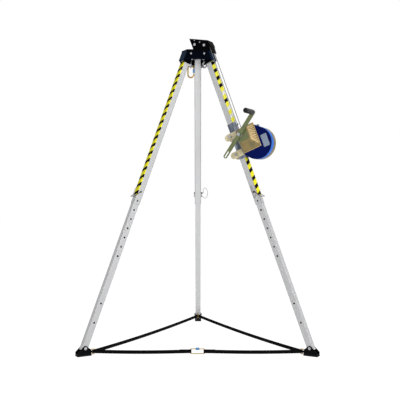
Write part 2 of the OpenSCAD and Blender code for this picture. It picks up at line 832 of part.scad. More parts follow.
module link_nut() {
    color(blue) on_link() translate([0, ring_height / 2 - ring_wire / 2, 0]) rotate([0, 90, 0]) difference() {
        cylinder(r = nut_radius, h = nut_length, center = true, $fn = 6);
        cylinder(d = ring_wire + 2 * running_fit, h = 2 * nut_length, center = true);
    }
}

// Winch

module leg_bracket() {
    color(zinc) on_leg(right) translate([0, 0, drum_place + bracket_low]) difference() {
        union() {
            translate([upper_depth / 2 + bracket_gap, -bracket_half, 0])
                cube([bracket_sheet, 2 * bracket_half, bracket_length]);
            for (low = [-bracket_half, bracket_half - bracket_sheet]) translate([-upper_depth / 2, low, 0])
                cube([upper_depth + bracket_gap + 1, bracket_sheet, bracket_length]);
            translate([bracket_face, -fall_offset, park_place - bracket_low]) rotate([0, 90, 0])
                cylinder(d = post_diameter, h = rope_out - bracket_face + 8);
        }
        for (place = clamp_places) translate([-upper_depth / 2 + 8, 0, place - bracket_low]) across(8, 200);
    }
}

ear_plate = 4;
ear_reach = 78;
ear_radius = 24;

module clamp_ears() {
    color(gold) on_leg(right) for (place = clamp_places) translate([0, 0, drum_place + place]) {
        for (side = [-1, 1]) translate([0, side > 0 ? bracket_half + ear_plate : -bracket_half, 0])
            rotate([90, 0, 0]) linear_extrude(ear_plate) difference() {
                union() {
                    translate([-ear_reach + ear_radius, 0]) circle(ear_radius);
                    translate([-ear_reach + ear_radius, -ear_radius])
                        square([ear_reach - ear_radius + upper_depth / 2 - 4, 2 * ear_radius]);
                }
                translate([-clamp_pin_in, 0]) circle(d = clamp_pin + 2 * running_fit);
            }
        translate([-upper_depth / 2 + 8, 0, 0]) for (side = [-1, 1])
            translate([0, side * (bracket_half - bracket_sheet / 2), 0]) across(8, bracket_sheet);
        translate([-ear_reach + ear_radius, 0, 0]) across(14, 2 * bracket_half);
    }
}

module bracket_pin(place) {
    head = 8;
    color(zinc) on_leg(right) translate([-clamp_pin_in, 0, drum_place + place]) {
        across(clamp_pin, 2 * (bracket_half + ear_plate) + 8);
        translate([0, -bracket_half - ear_plate - 4 - head / 2, 0]) across(clamp_pin + 8, head);
    }
}

// Outline of the winch frame and gear cover: drum circle, nose up the leg, lobe over the pinion
nose_lean = acos((housing_radius - nose_radius) / nose_reach);
lobe_lean = acos((housing_radius - lobe_radius) / norm(shaft_at));
function arc(middle, radius, from, to, steps) = [
    for (k = [0 : steps]) middle + polar(radius, from + (to - from) * k / steps)
];
function winch_outline(inset) = let (
    between = (90 + nose_lean - crank_bearing + lobe_lean) / 2
) concat(
    arc([0, nose_reach], nose_radius - inset, 90 - nose_lean, 90 + nose_lean, 6),
    [polar((housing_radius - inset) / cos(between), crank_bearing - lobe_lean + between)],
    arc(shaft_at, lobe_radius - inset, crank_bearing - lobe_lean, crank_bearing + lobe_lean, 12),
    arc([0, 0], housing_radius - inset, crank_bearing + lobe_lean, 450 - nose_lean, 46)
);

module winch_shape(inset) {
    polygon(winch_outline(inset));
}

// Lug of the frame plate that is welded to the bracket
lug_reach = 60;
lug_span = 90;
lug_below = 40;

module winch_frame() {
    color(gold) on_winch() difference() {
        union() {
            translate([0, 0, plate_back]) linear_extrude(frame_plate) winch_shape(0);
            translate([bracket_face - drum_reach, -lug_below, plate_back])
                cube([lug_reach, lug_span, frame_plate]);
            translate([0, 0, housing_back]) difference() {
                cylinder(r = housing_radius - 1, h = housing_depth);
                translate([0, 0, cover_wall])
                    cylinder(r = housing_radius - 1 - cover_wall, h = housing_depth);
            }
        }
        cylinder(d = drum_axle_diameter, h = 200, center = true);
        translate([0, 0, plate_back - 1]) cylinder(r = hub_radius + 1, h = frame_plate + 2);
        translate(concat(shaft_at, [plate_back - 1]))
            cylinder(d = shaft_diameter + 2 * running_fit, h = frame_plate + 2);
        translate([-lead_radius - 10, 20, -fall_offset - 8]) cube([20, housing_radius, 16]);
    }
}

hub_radius = 26;

module gear_cover() {
    color(blue) on_winch() difference() {
        translate([0, 0, plate_front]) linear_extrude(cover_depth) winch_shape(0);
        translate([0, 0, plate_front - 1]) linear_extrude(cover_depth + 1 - cover_wall)
            winch_shape(cover_wall);
        translate(concat(shaft_at, [0])) cylinder(d = shaft_diameter + 4, h = 100);
        cylinder(d = drum_axle_diameter, h = 200);
    }
}

// Brake cover: a pressed pan with sloped sides, from its rim on the gear cover to its front face
rim_low = shaft_at + [-35.3, -123.7];
rim_high = shaft_at + [104.7, 52.3];
face_low = shaft_at + [-24.3, -56.7];
face_high = shaft_at + [61.7, 30.3];

module pan(inset, depth) {
    hull() {
        translate(concat(rim_low + [inset, inset], [0]))
            cube(concat(rim_high - rim_low - 2 * [inset, inset], [0.01]));
        translate(concat(face_low + [inset, inset], [depth - 0.01]))
            cube(concat(face_high - face_low - 2 * [inset, inset], [0.01]));
    }
}

module brake_cover() {
    color(gold) on_winch() translate([0, 0, cover_front]) difference() {
        pan(0, brake_depth);
        translate([0, 0, -0.005]) pan(cover_wall, brake_depth - cover_wall);
        translate(concat(shaft_at, [-1])) cylinder(d = shaft_diameter + 2 * running_fit, h = brake_depth + 2);
    }
}

module drum() {
    color([0.6, 0.58, 0.5]) on_winch() difference() {
        union() {
            translate([0, 0, drum_back]) cylinder(r = core_radius, h = drum_front - drum_back);
            translate([0, 0, drum_back]) cylinder(r = flange_radius, h = flange);
            translate([0, 0, drum_front - flange]) cylinder(r = flange_radius, h = flange);
            translate([0, 0, drum_front - 1]) cylinder(r = hub_radius, h = gear_back - drum_front + 1);
        }
        cylinder(d = drum_axle_diameter + 2 * running_fit, h = 300, center = true);
    }
}

module rope_winding() {
    color(zinc) on_winch() translate([0, 0, drum_back + flange]) difference() {
        cylinder(r = winding_radius, h = drum_front - drum_back - 2 * flange);
        translate([0, 0, -1]) cylinder(r = core_radius, h = drum_front - drum_back);
    }
}

module drum_gear() {
    color(zinc) on_winch() translate([0, 0, gear_back]) difference() {
        rotate([0, 0, crank_bearing]) linear_extrude(gear_thickness) polygon(gear_outline(drum_teeth));
        translate([0, 0, -1]) cylinder(d = drum_axle_diameter + 2 * running_fit, h = gear_thickness + 2);
    }
}

module drum_axle() {
    color(zinc) on_winch() {
        translate([0, 0, housing_back - 6])
            cylinder(d = drum_axle_diameter, h = cover_front - housing_back + 6);
        translate([0, 0, housing_back - 12]) cylinder(d = 1.6 * drum_axle_diameter, h = 12);
    }
}

module crank_shaft() {
    color(zinc) on_winch() translate(concat(shaft_at, [0])) {
        translate([0, 0, plate_back]) cylinder(d = shaft_diameter, h = crank_back - plate_back);
        translate([0, 0, gear_back]) rotate([0, 0, crank_bearing + 180 + 180 / pinion_teeth])
            linear_extrude(gear_thickness) polygon(gear_outline(pinion_teeth));
        translate([0, 0, brake_front + 0.5]) cylinder(d = 44, h = crank_back - brake_front - 0.5);
        translate([0, 0, crank_back]) cylinder(d = 12, h = crank_thickness);
        translate([0, 0, crank_back + crank_thickness]) cylinder(d = 24, h = 8, $fn = 6);
    }
}

module on_crank() {
    on_winch() translate(concat(shaft_at, [crank_back])) rotate([0, 0, crank_angle]) children();
}

grip_spindle = 12;
grip_stand = 4;

module crank_arm() {
    color([0.66, 0.58, 0.3]) on_crank() {
        linear_extrude(crank_thickness) difference() {
            union() {
                square([2 * crank_reach, crank_width], center = true);
                for (side = [-1, 1]) translate([side * crank_reach, 0]) circle(d = crank_width);
            }
            circle(d = 12);
            translate([-crank_reach + 16, 0]) square([40, 12], center = true);
            for (side = [-1, 1]) translate([-crank_reach + 16 + side * 20, 0]) circle(d = 12);
        }
        translate([crank_reach, 0, crank_thickness - 1])
            cylinder(d = grip_spindle, h = grip_stand + grip_length - 9);
        translate([crank_reach, 0, crank_thickness - 1])
            cylinder(d = 1.5 * grip_spindle, h = grip_stand + 1 - washer_gap);
    }
}

module crank_grip() {
    color(black) on_crank() translate([crank_reach, 0, crank_thickness + grip_stand]) rotate_extrude() {
        inner = grip_spindle / 2 + running_fit;
        difference() {
            union() {
                translate([inner, 6]) square([grip_diameter / 2 - inner, grip_length - 12]);
                translate([inner, 0]) square([grip_diameter / 2 - 6 - inner, grip_length]);
                translate([grip_diameter / 2 - 6, 6]) circle(6);
                translate([grip_diameter / 2 - 6, grip_length - 6]) circle(6);
            }
            translate([-grip_diameter, 0]) square([grip_diameter + inner, grip_length]);
        }
    }
}

// Wire rope: off the drum, up over the far sheave and the guide roller, down the throat, round a bight
// and back over the near sheave to its eye on the bracket's post
roller_leg = to_leg(roller_at);
crossing = let (d = roller_leg - sheave_leg)
    atan2(d[1], d[0]) - acos((sheave_radius - roller_rope) / norm(d));
drop_angle = 180 - leg_tilt;
bight_drop = 80;
ferrule_length = 24;
arc_steps = 7;
half_route = concat(
    [[rope_out, drum_place], [rope_out, drum_place + 15]],
    [for (k = [1 : 11]) [rope_out, drum_place + 15 + (sheave_leg[1] - drum_place - 15) * k / 12]],
    [for (k = [0 : arc_steps]) sheave_leg + polar(sheave_radius, crossing * k / arc_steps)],
    [for (k = [0 : arc_steps]) roller_leg
        + polar(roller_rope, crossing + (drop_angle - crossing) * k / arc_steps)],
    [roller_leg + polar(roller_rope, drop_angle) - bight_drop * [sin(leg_tilt), cos(leg_tilt)]]
);
bight_from = half_route[len(half_route) - 1];
park_start = drum_place + park_place + post_diameter / 2 + eye_wire_park + post_gap + ferrule_length;
rope_line = concat(
    [for (p = half_route) [p[0], fall_offset, p[1]]],
    [for (k = [1 : 7]) let (
        a = k * 180 / 8,
        low = bight_from - fall_offset * sin(a) * [sin(leg_tilt), cos(leg_tilt)]
    ) [low[0], fall_offset * cos(a), low[1]]],
    [for (i = [len(half_route) - 1 : -1 : 3]) let (p = half_route[i]) if (p[1] > park_start + 30)
        [p[0], -fall_offset, p[1]]],
    [[rope_out, -fall_offset, park_start + 15], [rope_out, -fall_offset, park_start]]
);

module wire_rope() {
    color(zinc) on_leg(right) sweep(rope_line, rope_diameter, 8, [1, 0, 0]);
}

module rope_eye() {
    mid = (post_diameter + eye_wire_park) / 2 + post_gap;
    color(zinc) on_leg(right) translate([rope_out, -fall_offset, drum_place + park_place]) {
        rotate([0, 90, 0]) torus(mid, eye_wire_park);
        translate([0, 0, mid]) cylinder(d = 9, h = park_start - drum_place - park_place - mid);
    }
}

hub();
skirt();
pulley_cheeks();
pulley_hood();
sheave_axles();
head_bolts();
pivot_bolts();
eye_bolts();
sheave_near();
sheave_far();
guide_roller();
carabiner_body();
carabiner_gate();
carabiner_sleeve();
upper_tube(left);  // upper_tube_left
upper_tube(right);  // upper_tube_right
upper_tube(rear);  // upper_tube_rear
lower_tube(left);  // lower_tube_left
lower_tube(right);  // lower_tube_right
lower_tube(rear);  // lower_tube_rear
lock_pin(left);  // lock_pin_left
lock_pin(right);  // lock_pin_right
lock_pin(rear);  // lock_pin_rear
pin_lanyard(left);  // pin_lanyard_left
pin_lanyard(right);  // pin_lanyard_right
pin_lanyard(rear);  // pin_lanyard_rear
foot_shoe(left);  // foot_shoe_left
foot_shoe(right);  // foot_shoe_right
foot_shoe(rear);  // foot_shoe_rear
foot_pad(left);  // foot_pad_left
foot_pad(right);  // foot_pad_right
foot_pad(rear);  // foot_pad_rear
foot_bolt(left);  // foot_bolt_left
foot_bolt(right);  // foot_bolt_right
foot_bolt(rear);  // foot_bolt_rear
strap_ring(left);  // strap_ring_left
strap_ring(right);  // strap_ring_right
strap_ring(rear);  // strap_ring_rear
base_strap(left);  // base_strap_left
base_strap(right);  // base_strap_right
base_strap(rear);  // base_strap_rear
quick_link();
link_nut();
leg_bracket();
clamp_ears();
bracket_pin(clamp_places[1]);  // bracket_pin_upper
bracket_pin(clamp_places[0]);  // bracket_pin_lower
winch_frame();
gear_cover();
brake_cover();
drum();
drum_gear();
drum_axle();
crank_shaft();
crank_arm();
crank_grip();
rope_winding();
wire_rope();
rope_eye();
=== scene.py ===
"""Looks of a folding rescue tripod with a hand winch on one leg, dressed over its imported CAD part."""

import logging
import math
from dataclasses import dataclass, field
from enum import Enum
from typing import Callable, Iterable, Sequence

import bmesh
import bpy
from mathutils import Matrix, Vector

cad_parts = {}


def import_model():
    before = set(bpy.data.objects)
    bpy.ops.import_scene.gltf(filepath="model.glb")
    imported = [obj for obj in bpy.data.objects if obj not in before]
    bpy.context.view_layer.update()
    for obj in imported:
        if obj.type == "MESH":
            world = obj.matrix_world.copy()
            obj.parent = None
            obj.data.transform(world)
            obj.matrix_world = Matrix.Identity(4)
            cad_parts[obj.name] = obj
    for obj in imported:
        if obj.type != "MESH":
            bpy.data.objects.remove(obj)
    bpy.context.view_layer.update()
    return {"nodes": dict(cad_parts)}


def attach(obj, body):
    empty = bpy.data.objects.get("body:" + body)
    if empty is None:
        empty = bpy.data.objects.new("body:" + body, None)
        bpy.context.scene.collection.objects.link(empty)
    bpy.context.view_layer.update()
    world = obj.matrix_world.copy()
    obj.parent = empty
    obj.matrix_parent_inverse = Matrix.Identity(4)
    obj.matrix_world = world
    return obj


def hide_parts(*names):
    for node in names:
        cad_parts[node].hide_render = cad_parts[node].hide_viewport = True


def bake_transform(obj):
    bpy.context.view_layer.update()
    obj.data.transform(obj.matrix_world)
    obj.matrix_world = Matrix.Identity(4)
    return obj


LOG = logging.getLogger("rescue_tripod")
Colour = tuple[float, float, float]


class Leg(Enum):
    """The three legs, by the direction each takes from the tripod axis, in degrees."""

    LEFT = 210.0
    RIGHT = -30.0
    REAR = 90.0

    @property
    def word(self) -> str:
        """Name of the leg as the CAD nodes and bodies write it."""
        return self.name.lower()


class Spread(Enum):
    """What a material's texture is laid out by."""

    OBJECT = "Object"
    UV = "UV"


@dataclass(frozen=True)
class Stance:
    """Sizes of the open tripod, in metres, and the frames of its legs."""

    leg_tilt: float = math.radians(21.24)
    pivot_radius: float = 0.084
    leg_reach: float = 2.226
    foot_pivot_height: float = 0.054
    foot_length: float = 0.1
    foot_offset: float = 0.004
    foot_width: float = 0.054
    lock_place: float = 1.138
    plate_rise: float = 0.032

    @property
    def foot_radius(self) -> float:
        """Distance of each foot pivot from the tripod axis."""
        return self.pivot_radius + self.leg_reach * math.sin(self.leg_tilt)

    @property
    def axis_shift(self) -> float:
        """Place of the tripod axis along Y."""
        toe = self.foot_radius + self.foot_offset + self.foot_length / 2
        return -(toe / 2 - self.foot_width / 2 * math.cos(math.radians(30))) / 2

    def spoke(self, leg: Leg) -> Matrix:
        """Frame in the upright plane of a leg: x outward from the tripod axis, y across, z up."""
        turn = Matrix.Rotation(math.radians(leg.value), 4, "Z")
        return Matrix.Translation((0, self.axis_shift, 0)) @ turn

    def along(self, leg: Leg) -> Matrix:
        """Frame of a leg: x outward from it, y across, z up the leg from the foot pivot."""
        foot = Matrix.Translation((self.foot_radius, 0, self.foot_pivot_height))
        return self.spoke(leg) @ foot @ Matrix.Rotation(-self.leg_tilt, 4, "Y")


STANCE = Stance()


# Shader node groups


class NodeSheet:
    """A node tree with short ways to add, set and join nodes."""

    def __init__(self, tree: bpy.types.NodeTree) -> None:
        """Keeps the tree that the nodes go into."""
        self.tree = tree

    def add(self, kind: str, **values: object) -> bpy.types.Node:
        """Adds a node and sets its properties.

        Args:
            kind: Blender's type name of the node.
            **values: Properties of the node.

        Returns:
            The new node.
        """
        node = self.tree.nodes.new(kind)
        for name, value in values.items():
            setattr(node, name, value)
        return node

    def join(self, source: bpy.types.NodeSocket, target: bpy.types.NodeSocket) -> None:
        """Links one socket to another."""
        self.tree.links.new(source, target)

    def feed(self, value: object, target: bpy.types.NodeSocket) -> None:
        """Links a socket, or sets a plain value on the target.

        Args:
            value: Socket, or a plain value.
            target: Socket that takes it.
        """
        if isinstance(value, bpy.types.NodeSocket):
            self.join(value, target)
        else:
            target.default_value = value

    def math(self, operation: str, first: object, second: object = 0.0, clamp: bool = False) -> bpy.types.NodeSocket:
        """Adds a math node.

        Args:
            operation: Blender's name of the operation.
            first: Socket or number.
            second: Socket or number.
            clamp: Whether the result is held from 0 to 1.

        Returns:
            The node's result.
        """
        node = self.add("ShaderNodeMath", operation=operation, use_clamp=clamp)
        self.feed(first, node.inputs[0])
        self.feed(second, node.inputs[1])
        return node.outputs[0]

    def mix(self, share: object, first: object, second: object) -> bpy.types.NodeSocket:
        """Mixes two colours.

        Args:
            share: Socket or number, the part of the second colour.
            first: Socket or colour.
            second: Socket or colour.

        Returns:
            The mixed colour.
        """
        node = self.add("ShaderNodeMix", data_type="RGBA")
        self.feed(share, node.inputs["Factor"])
        self.feed(first, node.inputs["A"])
        self.feed(second, node.inputs["B"])
        return node.outputs["Result"]

    def ramp(self, value: bpy.types.NodeSocket, low: float, high: float) -> bpy.types.NodeSocket:
        """Maps a value between two limits to the range from 0 to 1.

        Args:
            value: Socket with the value.
            low: Value that gives 0.
            high: Value that gives 1.

        Returns:
            Socket with the mapped value.
        """
        node = self.add("ShaderNodeMapRange", interpolation_type="SMOOTHSTEP")
        self.feed(value, node.inputs["Value"])
        node.inputs["From Min"].default_value = low
        node.inputs["From Max"].default_value = high
        return node.outputs["Result"]

    def noise(self, vector: bpy.types.NodeSocket, scale: object, detail: float, rough: float) -> bpy.types.NodeSocket:
        """Adds a noise texture.

        Args:
            vector: Socket with the place on the surface.
            scale: Scale of the noise, as a number or a socket.
            detail: Octaves of the noise.
            rough: Weight of the finer octaves.

        Returns:
            Socket with the noise's value.
        """
        node = self.add("ShaderNodeTexNoise")
        self.join(vector, node.inputs["Vector"])
        self.feed(scale, node.inputs["Scale"])
        node.inputs["Detail"].default_value = detail
        node.inputs["Roughness"].default_value = rough
        return node.outputs["Fac"]


def rgba(colour: Colour) -> tuple[float, float, float, float]:
    """A colour with full cover."""
    return (*colour, 1.0)


class Effects:
    """The shared node groups, each built once."""

    _made: dict[str, bpy.types.NodeTree] = {}

    @classmethod
    def _group(cls, name: str, inputs: Sequence[tuple[str, str]], outputs: Sequence[tuple[str, str]],
               fill: Callable[[NodeSheet, bpy.types.Node, bpy.types.Node], None]) -> bpy.types.NodeTree:
        """Builds a node group the first time it is asked for.

        Args:
            name: Name of the group.
            inputs: Names and socket types of its inputs.
            outputs: Names and socket types of its outputs.
            fill: Function that adds the nodes between the two ends.

        Returns:
            The group.
        """
        if name not in cls._made:
            tree = bpy.data.node_groups.new(name, "ShaderNodeTree")
            for label, kind in inputs:
                tree.interface.new_socket(name=label, in_out="INPUT", socket_type=kind)
            for label, kind in outputs:
                tree.interface.new_socket(name=label, in_out="OUTPUT", socket_type=kind)
            sheet = NodeSheet(tree)
            fill(sheet, sheet.add("NodeGroupInput"), sheet.add("NodeGroupOutput"))
            cls._made[name] = tree
        return cls._made[name]

    @classmethod
    def surface(cls) -> bpy.types.NodeTree:
        """Grain, blotches and scuffs of a worked surface.

        Returns:
            The shared group.
        """

        def fill(sheet: NodeSheet, start: bpy.types.Node, end: bpy.types.Node) -> None:
            """Adds the nodes of the surface group.

            Args:
                sheet: The group's own tree.
                start: Node with the group's inputs.
                end: Node with the group's outputs.
            """
            put = start.outputs
            grain = sheet.noise(put["Vector"], put["Grain Scale"], 4.0, 0.6)
            blotch = sheet.noise(put["Vector"], put["Blotch Scale"], 3.0, 0.55)
            fine = sheet.noise(put["Vector"], sheet.math("MULTIPLY", put["Blotch Scale"], 5.3), 8.0, 0.72)
            scuff = sheet.math("MULTIPLY", sheet.ramp(fine, 0.56, 0.7), put["Scuffing"], clamp=True)
            shade = sheet.math("MULTIPLY", sheet.ramp(blotch, 0.3, 0.7), put["Variation"])
            part = sheet.math("MULTIPLY", put["Variation"], 0.35)
            speck = sheet.math("MULTIPLY", sheet.ramp(grain, 0.35, 0.65), part)
            tone = sheet.mix(shade, put["Colour"], put["Shade"])
            tone = sheet.mix(speck, tone, put["Shade"])
            sheet.join(sheet.mix(scuff, tone, put["Scuff"]), end.inputs["Colour"])
            swing = sheet.math("MULTIPLY", sheet.math("SUBTRACT", grain, 0.5), put["Roughness Swing"])
            rough = sheet.math("ADD", put["Roughness"], swing)
            rough = sheet.math("ADD", rough, sheet.math("MULTIPLY", shade, 0.12))
            rough = sheet.math("ADD", rough, sheet.math("MULTIPLY", scuff, 0.2), clamp=True)
            sheet.join(rough, end.inputs["Roughness"])
            sheet.join(sheet.math("SUBTRACT", grain, sheet.math("MULTIPLY", scuff, 0.5)), end.inputs["Height"])

        value, colour = "NodeSocketFloat", "NodeSocketColor"
        return cls._group(
            "worked_surface",
            [("Vector", "NodeSocketVector"), ("Colour", colour), ("Shade", colour), ("Scuff", colour),
             ("Grain Scale", value), ("Blotch Scale", value), ("Variation", value), ("Scuffing", value),
             ("Roughness", value), ("Roughness Swing", value)],
            [("Colour", colour), ("Roughness", value), ("Height", value)],
            fill,
        )

    @classmethod
    def strands(cls) -> bpy.types.NodeTree:
        """Twisted strands of a wire rope, laid out by its length and its girth.

        Returns:
            The shared group.
        """

        def fill(sheet: NodeSheet, start: bpy.types.Node, end: bpy.types.Node) -> None:
            """Adds the nodes of the strand group.

            Args:
                sheet: The group's own tree.
                start: Node with the group's inputs.
                end: Node with the group's outputs.
            """
            apart = sheet.add("ShaderNodeSeparateXYZ")
            sheet.join(start.outputs["Vector"], apart.inputs[0])
            turns = sheet.math("DIVIDE", apart.outputs["X"], start.outputs["Lay"])
            place = sheet.math("MULTIPLY", sheet.math("ADD", turns, apart.outputs["Y"]), 6.0 * math.tau)
            wave = sheet.math("ABSOLUTE", sheet.math("SINE", sheet.math("MULTIPLY", place, 0.5)))
            sheet.join(wave, end.inputs["Height"])
            sheet.join(sheet.ramp(wave, 0.0, 0.55), end.inputs["Strand"])

        value = "NodeSocketFloat"
        return cls._group(
            "twisted_strands",
            [("Vector", "NodeSocketVector"), ("Lay", value)],
            [("Strand", value), ("Height", value)],
            fill,
        )


# Finishes


@dataclass(frozen=True)
class Finish:
    """A worked surface: its colours, its grain and its wear."""

    name: str
    colour: Colour
    shade: Colour
    scuff: Colour
    metallic: float = 0.0
    roughness: float = 0.5
    swing: float = 0.16
    grain: float = 420.0
    blotch: float = 9.0
    variation: float = 0.4
    scuffing: float = 0.25
    depth: float = 0.08
    coat: float = 0.0
    specular: float = 0.5
    stretch: tuple[float, float, float] = (1.0, 1.0, 1.0)
    turn: tuple[float, float, float] = (0.0, 0.0, 0.0)

    def sheet(self) -> tuple[bpy.types.Material, NodeSheet, bpy.types.Node]:
        """Starts the material.

        Returns:
            The material, its node sheet and its shader.
        """
        material = bpy.data.materials.new(self.name)
        material.use_nodes = True
        material.diffuse_color = rgba(self.colour)
        sheet = NodeSheet(material.node_tree)
        shader = material.node_tree.nodes["Principled BSDF"]
        shader.inputs["Metallic"].default_value = self.metallic
        shader.inputs["Specular IOR Level"].default_value = self.specular
        shader.inputs["Coat Weight"].default_value = self.coat
        shader.inputs["Coat Roughness"].default_value = 0.12
        return material, sheet, shader

    def surface(self, sheet: NodeSheet, spread: Spread = Spread.OBJECT) -> bpy.types.Node:
        """Places the surface group with this finish's values.

        Args:
            sheet: Node sheet of the material.
            spread: What the texture is laid out by.

        Returns:
            The group node.
        """
        places = sheet.add("ShaderNodeTexCoord")
        mapping = sheet.add("ShaderNodeMapping", vector_type="TEXTURE")
        mapping.inputs["Rotation"].default_value = self.turn
        mapping.inputs["Scale"].default_value = self.stretch
        sheet.join(places.outputs[spread.value], mapping.inputs["Vector"])
        group = sheet.add("ShaderNodeGroup", node_tree=Effects.surface())
        sheet.join(mapping.outputs["Vector"], group.inputs["Vector"])
        for label, value in (
            ("Colour", rgba(self.colour)), ("Shade", rgba(self.shade)), ("Scuff", rgba(self.scuff)),
            ("Grain Scale", self.grain), ("Blotch Scale", self.blotch), ("Variation", self.variation),
            ("Scuffing", self.scuffing), ("Roughness", self.roughness), ("Roughness Swing", self.swing),
        ):
            group.inputs[label].default_value = value
        return group

    def bump(self, sheet: NodeSheet, shader: bpy.types.Node, height: bpy.types.NodeSocket, strength: float) -> None:
        """Gives the shader a bumped normal.

        Args:
            sheet: The material's tree.
            shader: Shader that takes the normal.
            height: Socket with the height.
            strength: Strength of the bump.
        """
        bump = sheet.add("ShaderNodeBump")
        bump.inputs["Strength"].default_value = strength
        bump.inputs["Distance"].default_value = 0.001
        sheet.join(height, bump.inputs["Height"])
        sheet.join(bump.outputs["Normal"], shader.inputs["Normal"])

    def material(self) -> bpy.types.Material:
        """Builds the material.

        Returns:
            The finished material.
        """
        material, sheet, shader = self.sheet()
        group = self.surface(sheet)
        sheet.join(group.outputs["Colour"], shader.inputs["Base Color"])
        sheet.join(group.outputs["Roughness"], shader.inputs["Roughness"])
        self.bump(sheet, shader, group.outputs["Height"], self.depth)
        return material


@dataclass(frozen=True)
class StrandFinish(Finish):
    """Stranded wire, laid out along its length, with painted shade in the grooves between strands."""

    lay: float = 0.03
    groove_shade: Colour = (0.1, 0.1, 0.1)

    def material(self) -> bpy.types.Material:
        """Builds the material with its strands.

        Returns:
            The finished material.
        """
        material, sheet, shader = self.sheet()
        group = self.surface(sheet)
        places = sheet.add("ShaderNodeTexCoord")
        strands = sheet.add("ShaderNodeGroup", node_tree=Effects.strands())
        strands.inputs["Lay"].default_value = self.lay
        sheet.join(places.outputs["UV"], strands.inputs["Vector"])
        # Painted shade: the grooves between strands take the dark groove colour.
        tone = sheet.mix(strands.outputs["Strand"], rgba(self.groove_shade), group.outputs["Colour"])
        sheet.join(tone, shader.inputs["Base Color"])
        sheet.join(group.outputs["Roughness"], shader.inputs["Roughness"])
        self.bump(sheet, shader, strands.outputs["Height"], 0.6)
        return material


@dataclass(frozen=True)
class WebFinish(Finish):
    """Woven webbing with ribs along its length and rows across it."""

    rib: float = 0.0021
    row: float = 0.0017

    def material(self) -> bpy.types.Material:
        """Builds the material with its weave.

        Returns:
            The finished material.
        """
        material, sheet, shader = self.sheet()
        group = self.surface(sheet, Spread.UV)
        places = sheet.add("ShaderNodeTexCoord")
        apart = sheet.add("ShaderNodeSeparateXYZ")
        sheet.join(places.outputs["UV"], apart.inputs[0])
        rib = sheet.math("SINE", sheet.math("MULTIPLY", apart.outputs["Y"], math.tau / self.rib))
        lean = sheet.math("MULTIPLY", sheet.math("ABSOLUTE", rib), self.row)
        place = sheet.math("ADD", apart.outputs["X"], lean)
        row = sheet.math("SINE", sheet.math("MULTIPLY", place, math.tau / self.row))
        weave = sheet.math("ADD", sheet.math("MULTIPLY", rib, 0.25), sheet.math("MULTIPLY", row, 0.25))
        weave = sheet.math("ADD", weave, 0.5, clamp=True)
        tone = sheet.mix(sheet.math("MULTIPLY", weave, 0.6), group.outputs["Colour"], rgba(self.shade))
        sheet.join(tone, shader.inputs["Base Color"])
        sheet.join(group.outputs["Roughness"], shader.inputs["Roughness"])
        self.bump(sheet, shader, weave, 0.5)
        return material


@dataclass(frozen=True)
class TapeFinish(Finish):
    """Striped hazard tape, whose dark stripes may be worn away in some stretches."""

    dark: Colour = (0.002, 0.002, 0.002)
    bare: Colour = (0.86, 0.86, 0.8)
    period: float = 0.0608
    slope: float = -0.45
    anchor: float = 1.97
    dark_share: float = 0.44
    worn: tuple[tuple[float, float], ...] = ()

    def material(self) -> bpy.types.Material:
        """Builds the material with its stripes.

        Returns:
            The finished material.
        """
        material, sheet, shader = self.sheet()
        group = self.surface(sheet, Spread.UV)
        places = sheet.add("ShaderNodeTexCoord")
        apart = sheet.add("ShaderNodeSeparateXYZ")
        sheet.join(places.outputs["UV"], apart.inputs[0])
        lean = sheet.math("MULTIPLY", apart.outputs["Y"], self.slope)
        place = sheet.math("ADD", sheet.math("SUBTRACT", apart.outputs["X"], self.anchor), lean)
        share = sheet.math("FRACT", sheet.math("DIVIDE", place, self.period))
        edge = sheet.math("ABSOLUTE", sheet.math("SUBTRACT", share, 0.5))
        limit = 0.5 - self.dark_share / 2
        stripe = sheet.ramp(edge, limit - 0.015, limit + 0.015)
        dark: object = rgba(self.dark)
        for low, high in self.worn:
            inside = sheet.math("MULTIPLY", sheet.math("GREATER_THAN", apart.outputs["X"], low),
                                sheet.math("LESS_THAN", apart.outputs["X"], high))
            dark = sheet.mix(inside, dark, rgba(self.bare))
        sheet.join(sheet.mix(stripe, group.outputs["Colour"], dark), shader.inputs["Base Color"])
        sheet.join(group.outputs["Roughness"], shader.inputs["Roughness"])
        self.bump(sheet, shader, group.outputs["Height"], self.depth)
        return material


@dataclass(frozen=True)
class LitWallFinish(Finish):
    """Paint with painted light: the walls round a pressed face take a lighter colour, as if lit."""

    # Painted light: the colour of the lit walls.
    rim: Colour = (0.5, 0.5, 0.5)
    axis: tuple[float, float, float] = (0.0, 0.0, 1.0)

    def material(self) -> bpy.types.Material:
        """Builds the material with painted light on its walls.

        Returns:
            The finished material.
        """
        material, sheet, shader = self.sheet()
        group = self.surface(sheet)
        places = sheet.add("ShaderNodeTexCoord")
        facing = sheet.add("ShaderNodeVectorMath", operation="DOT_PRODUCT")
        sheet.join(places.outputs["Normal"], facing.inputs[0])
        facing.inputs[1].default_value = self.axis
        # Painted light: faces turned away from the axis take the lighter wall colour.
        lit_wall = sheet.math("SUBTRACT", 1.0, sheet.ramp(sheet.math("ABSOLUTE", facing.outputs["Value"]), 0.2, 0.75))
        sheet.join(sheet.mix(lit_wall, group.outputs["Colour"], rgba(self.rim)), shader.inputs["Base Color"])
        sheet.join(group.outputs["Roughness"], shader.inputs["Roughness"])
        self.bump(sheet, shader, group.outputs["Height"], self.depth)
        return material


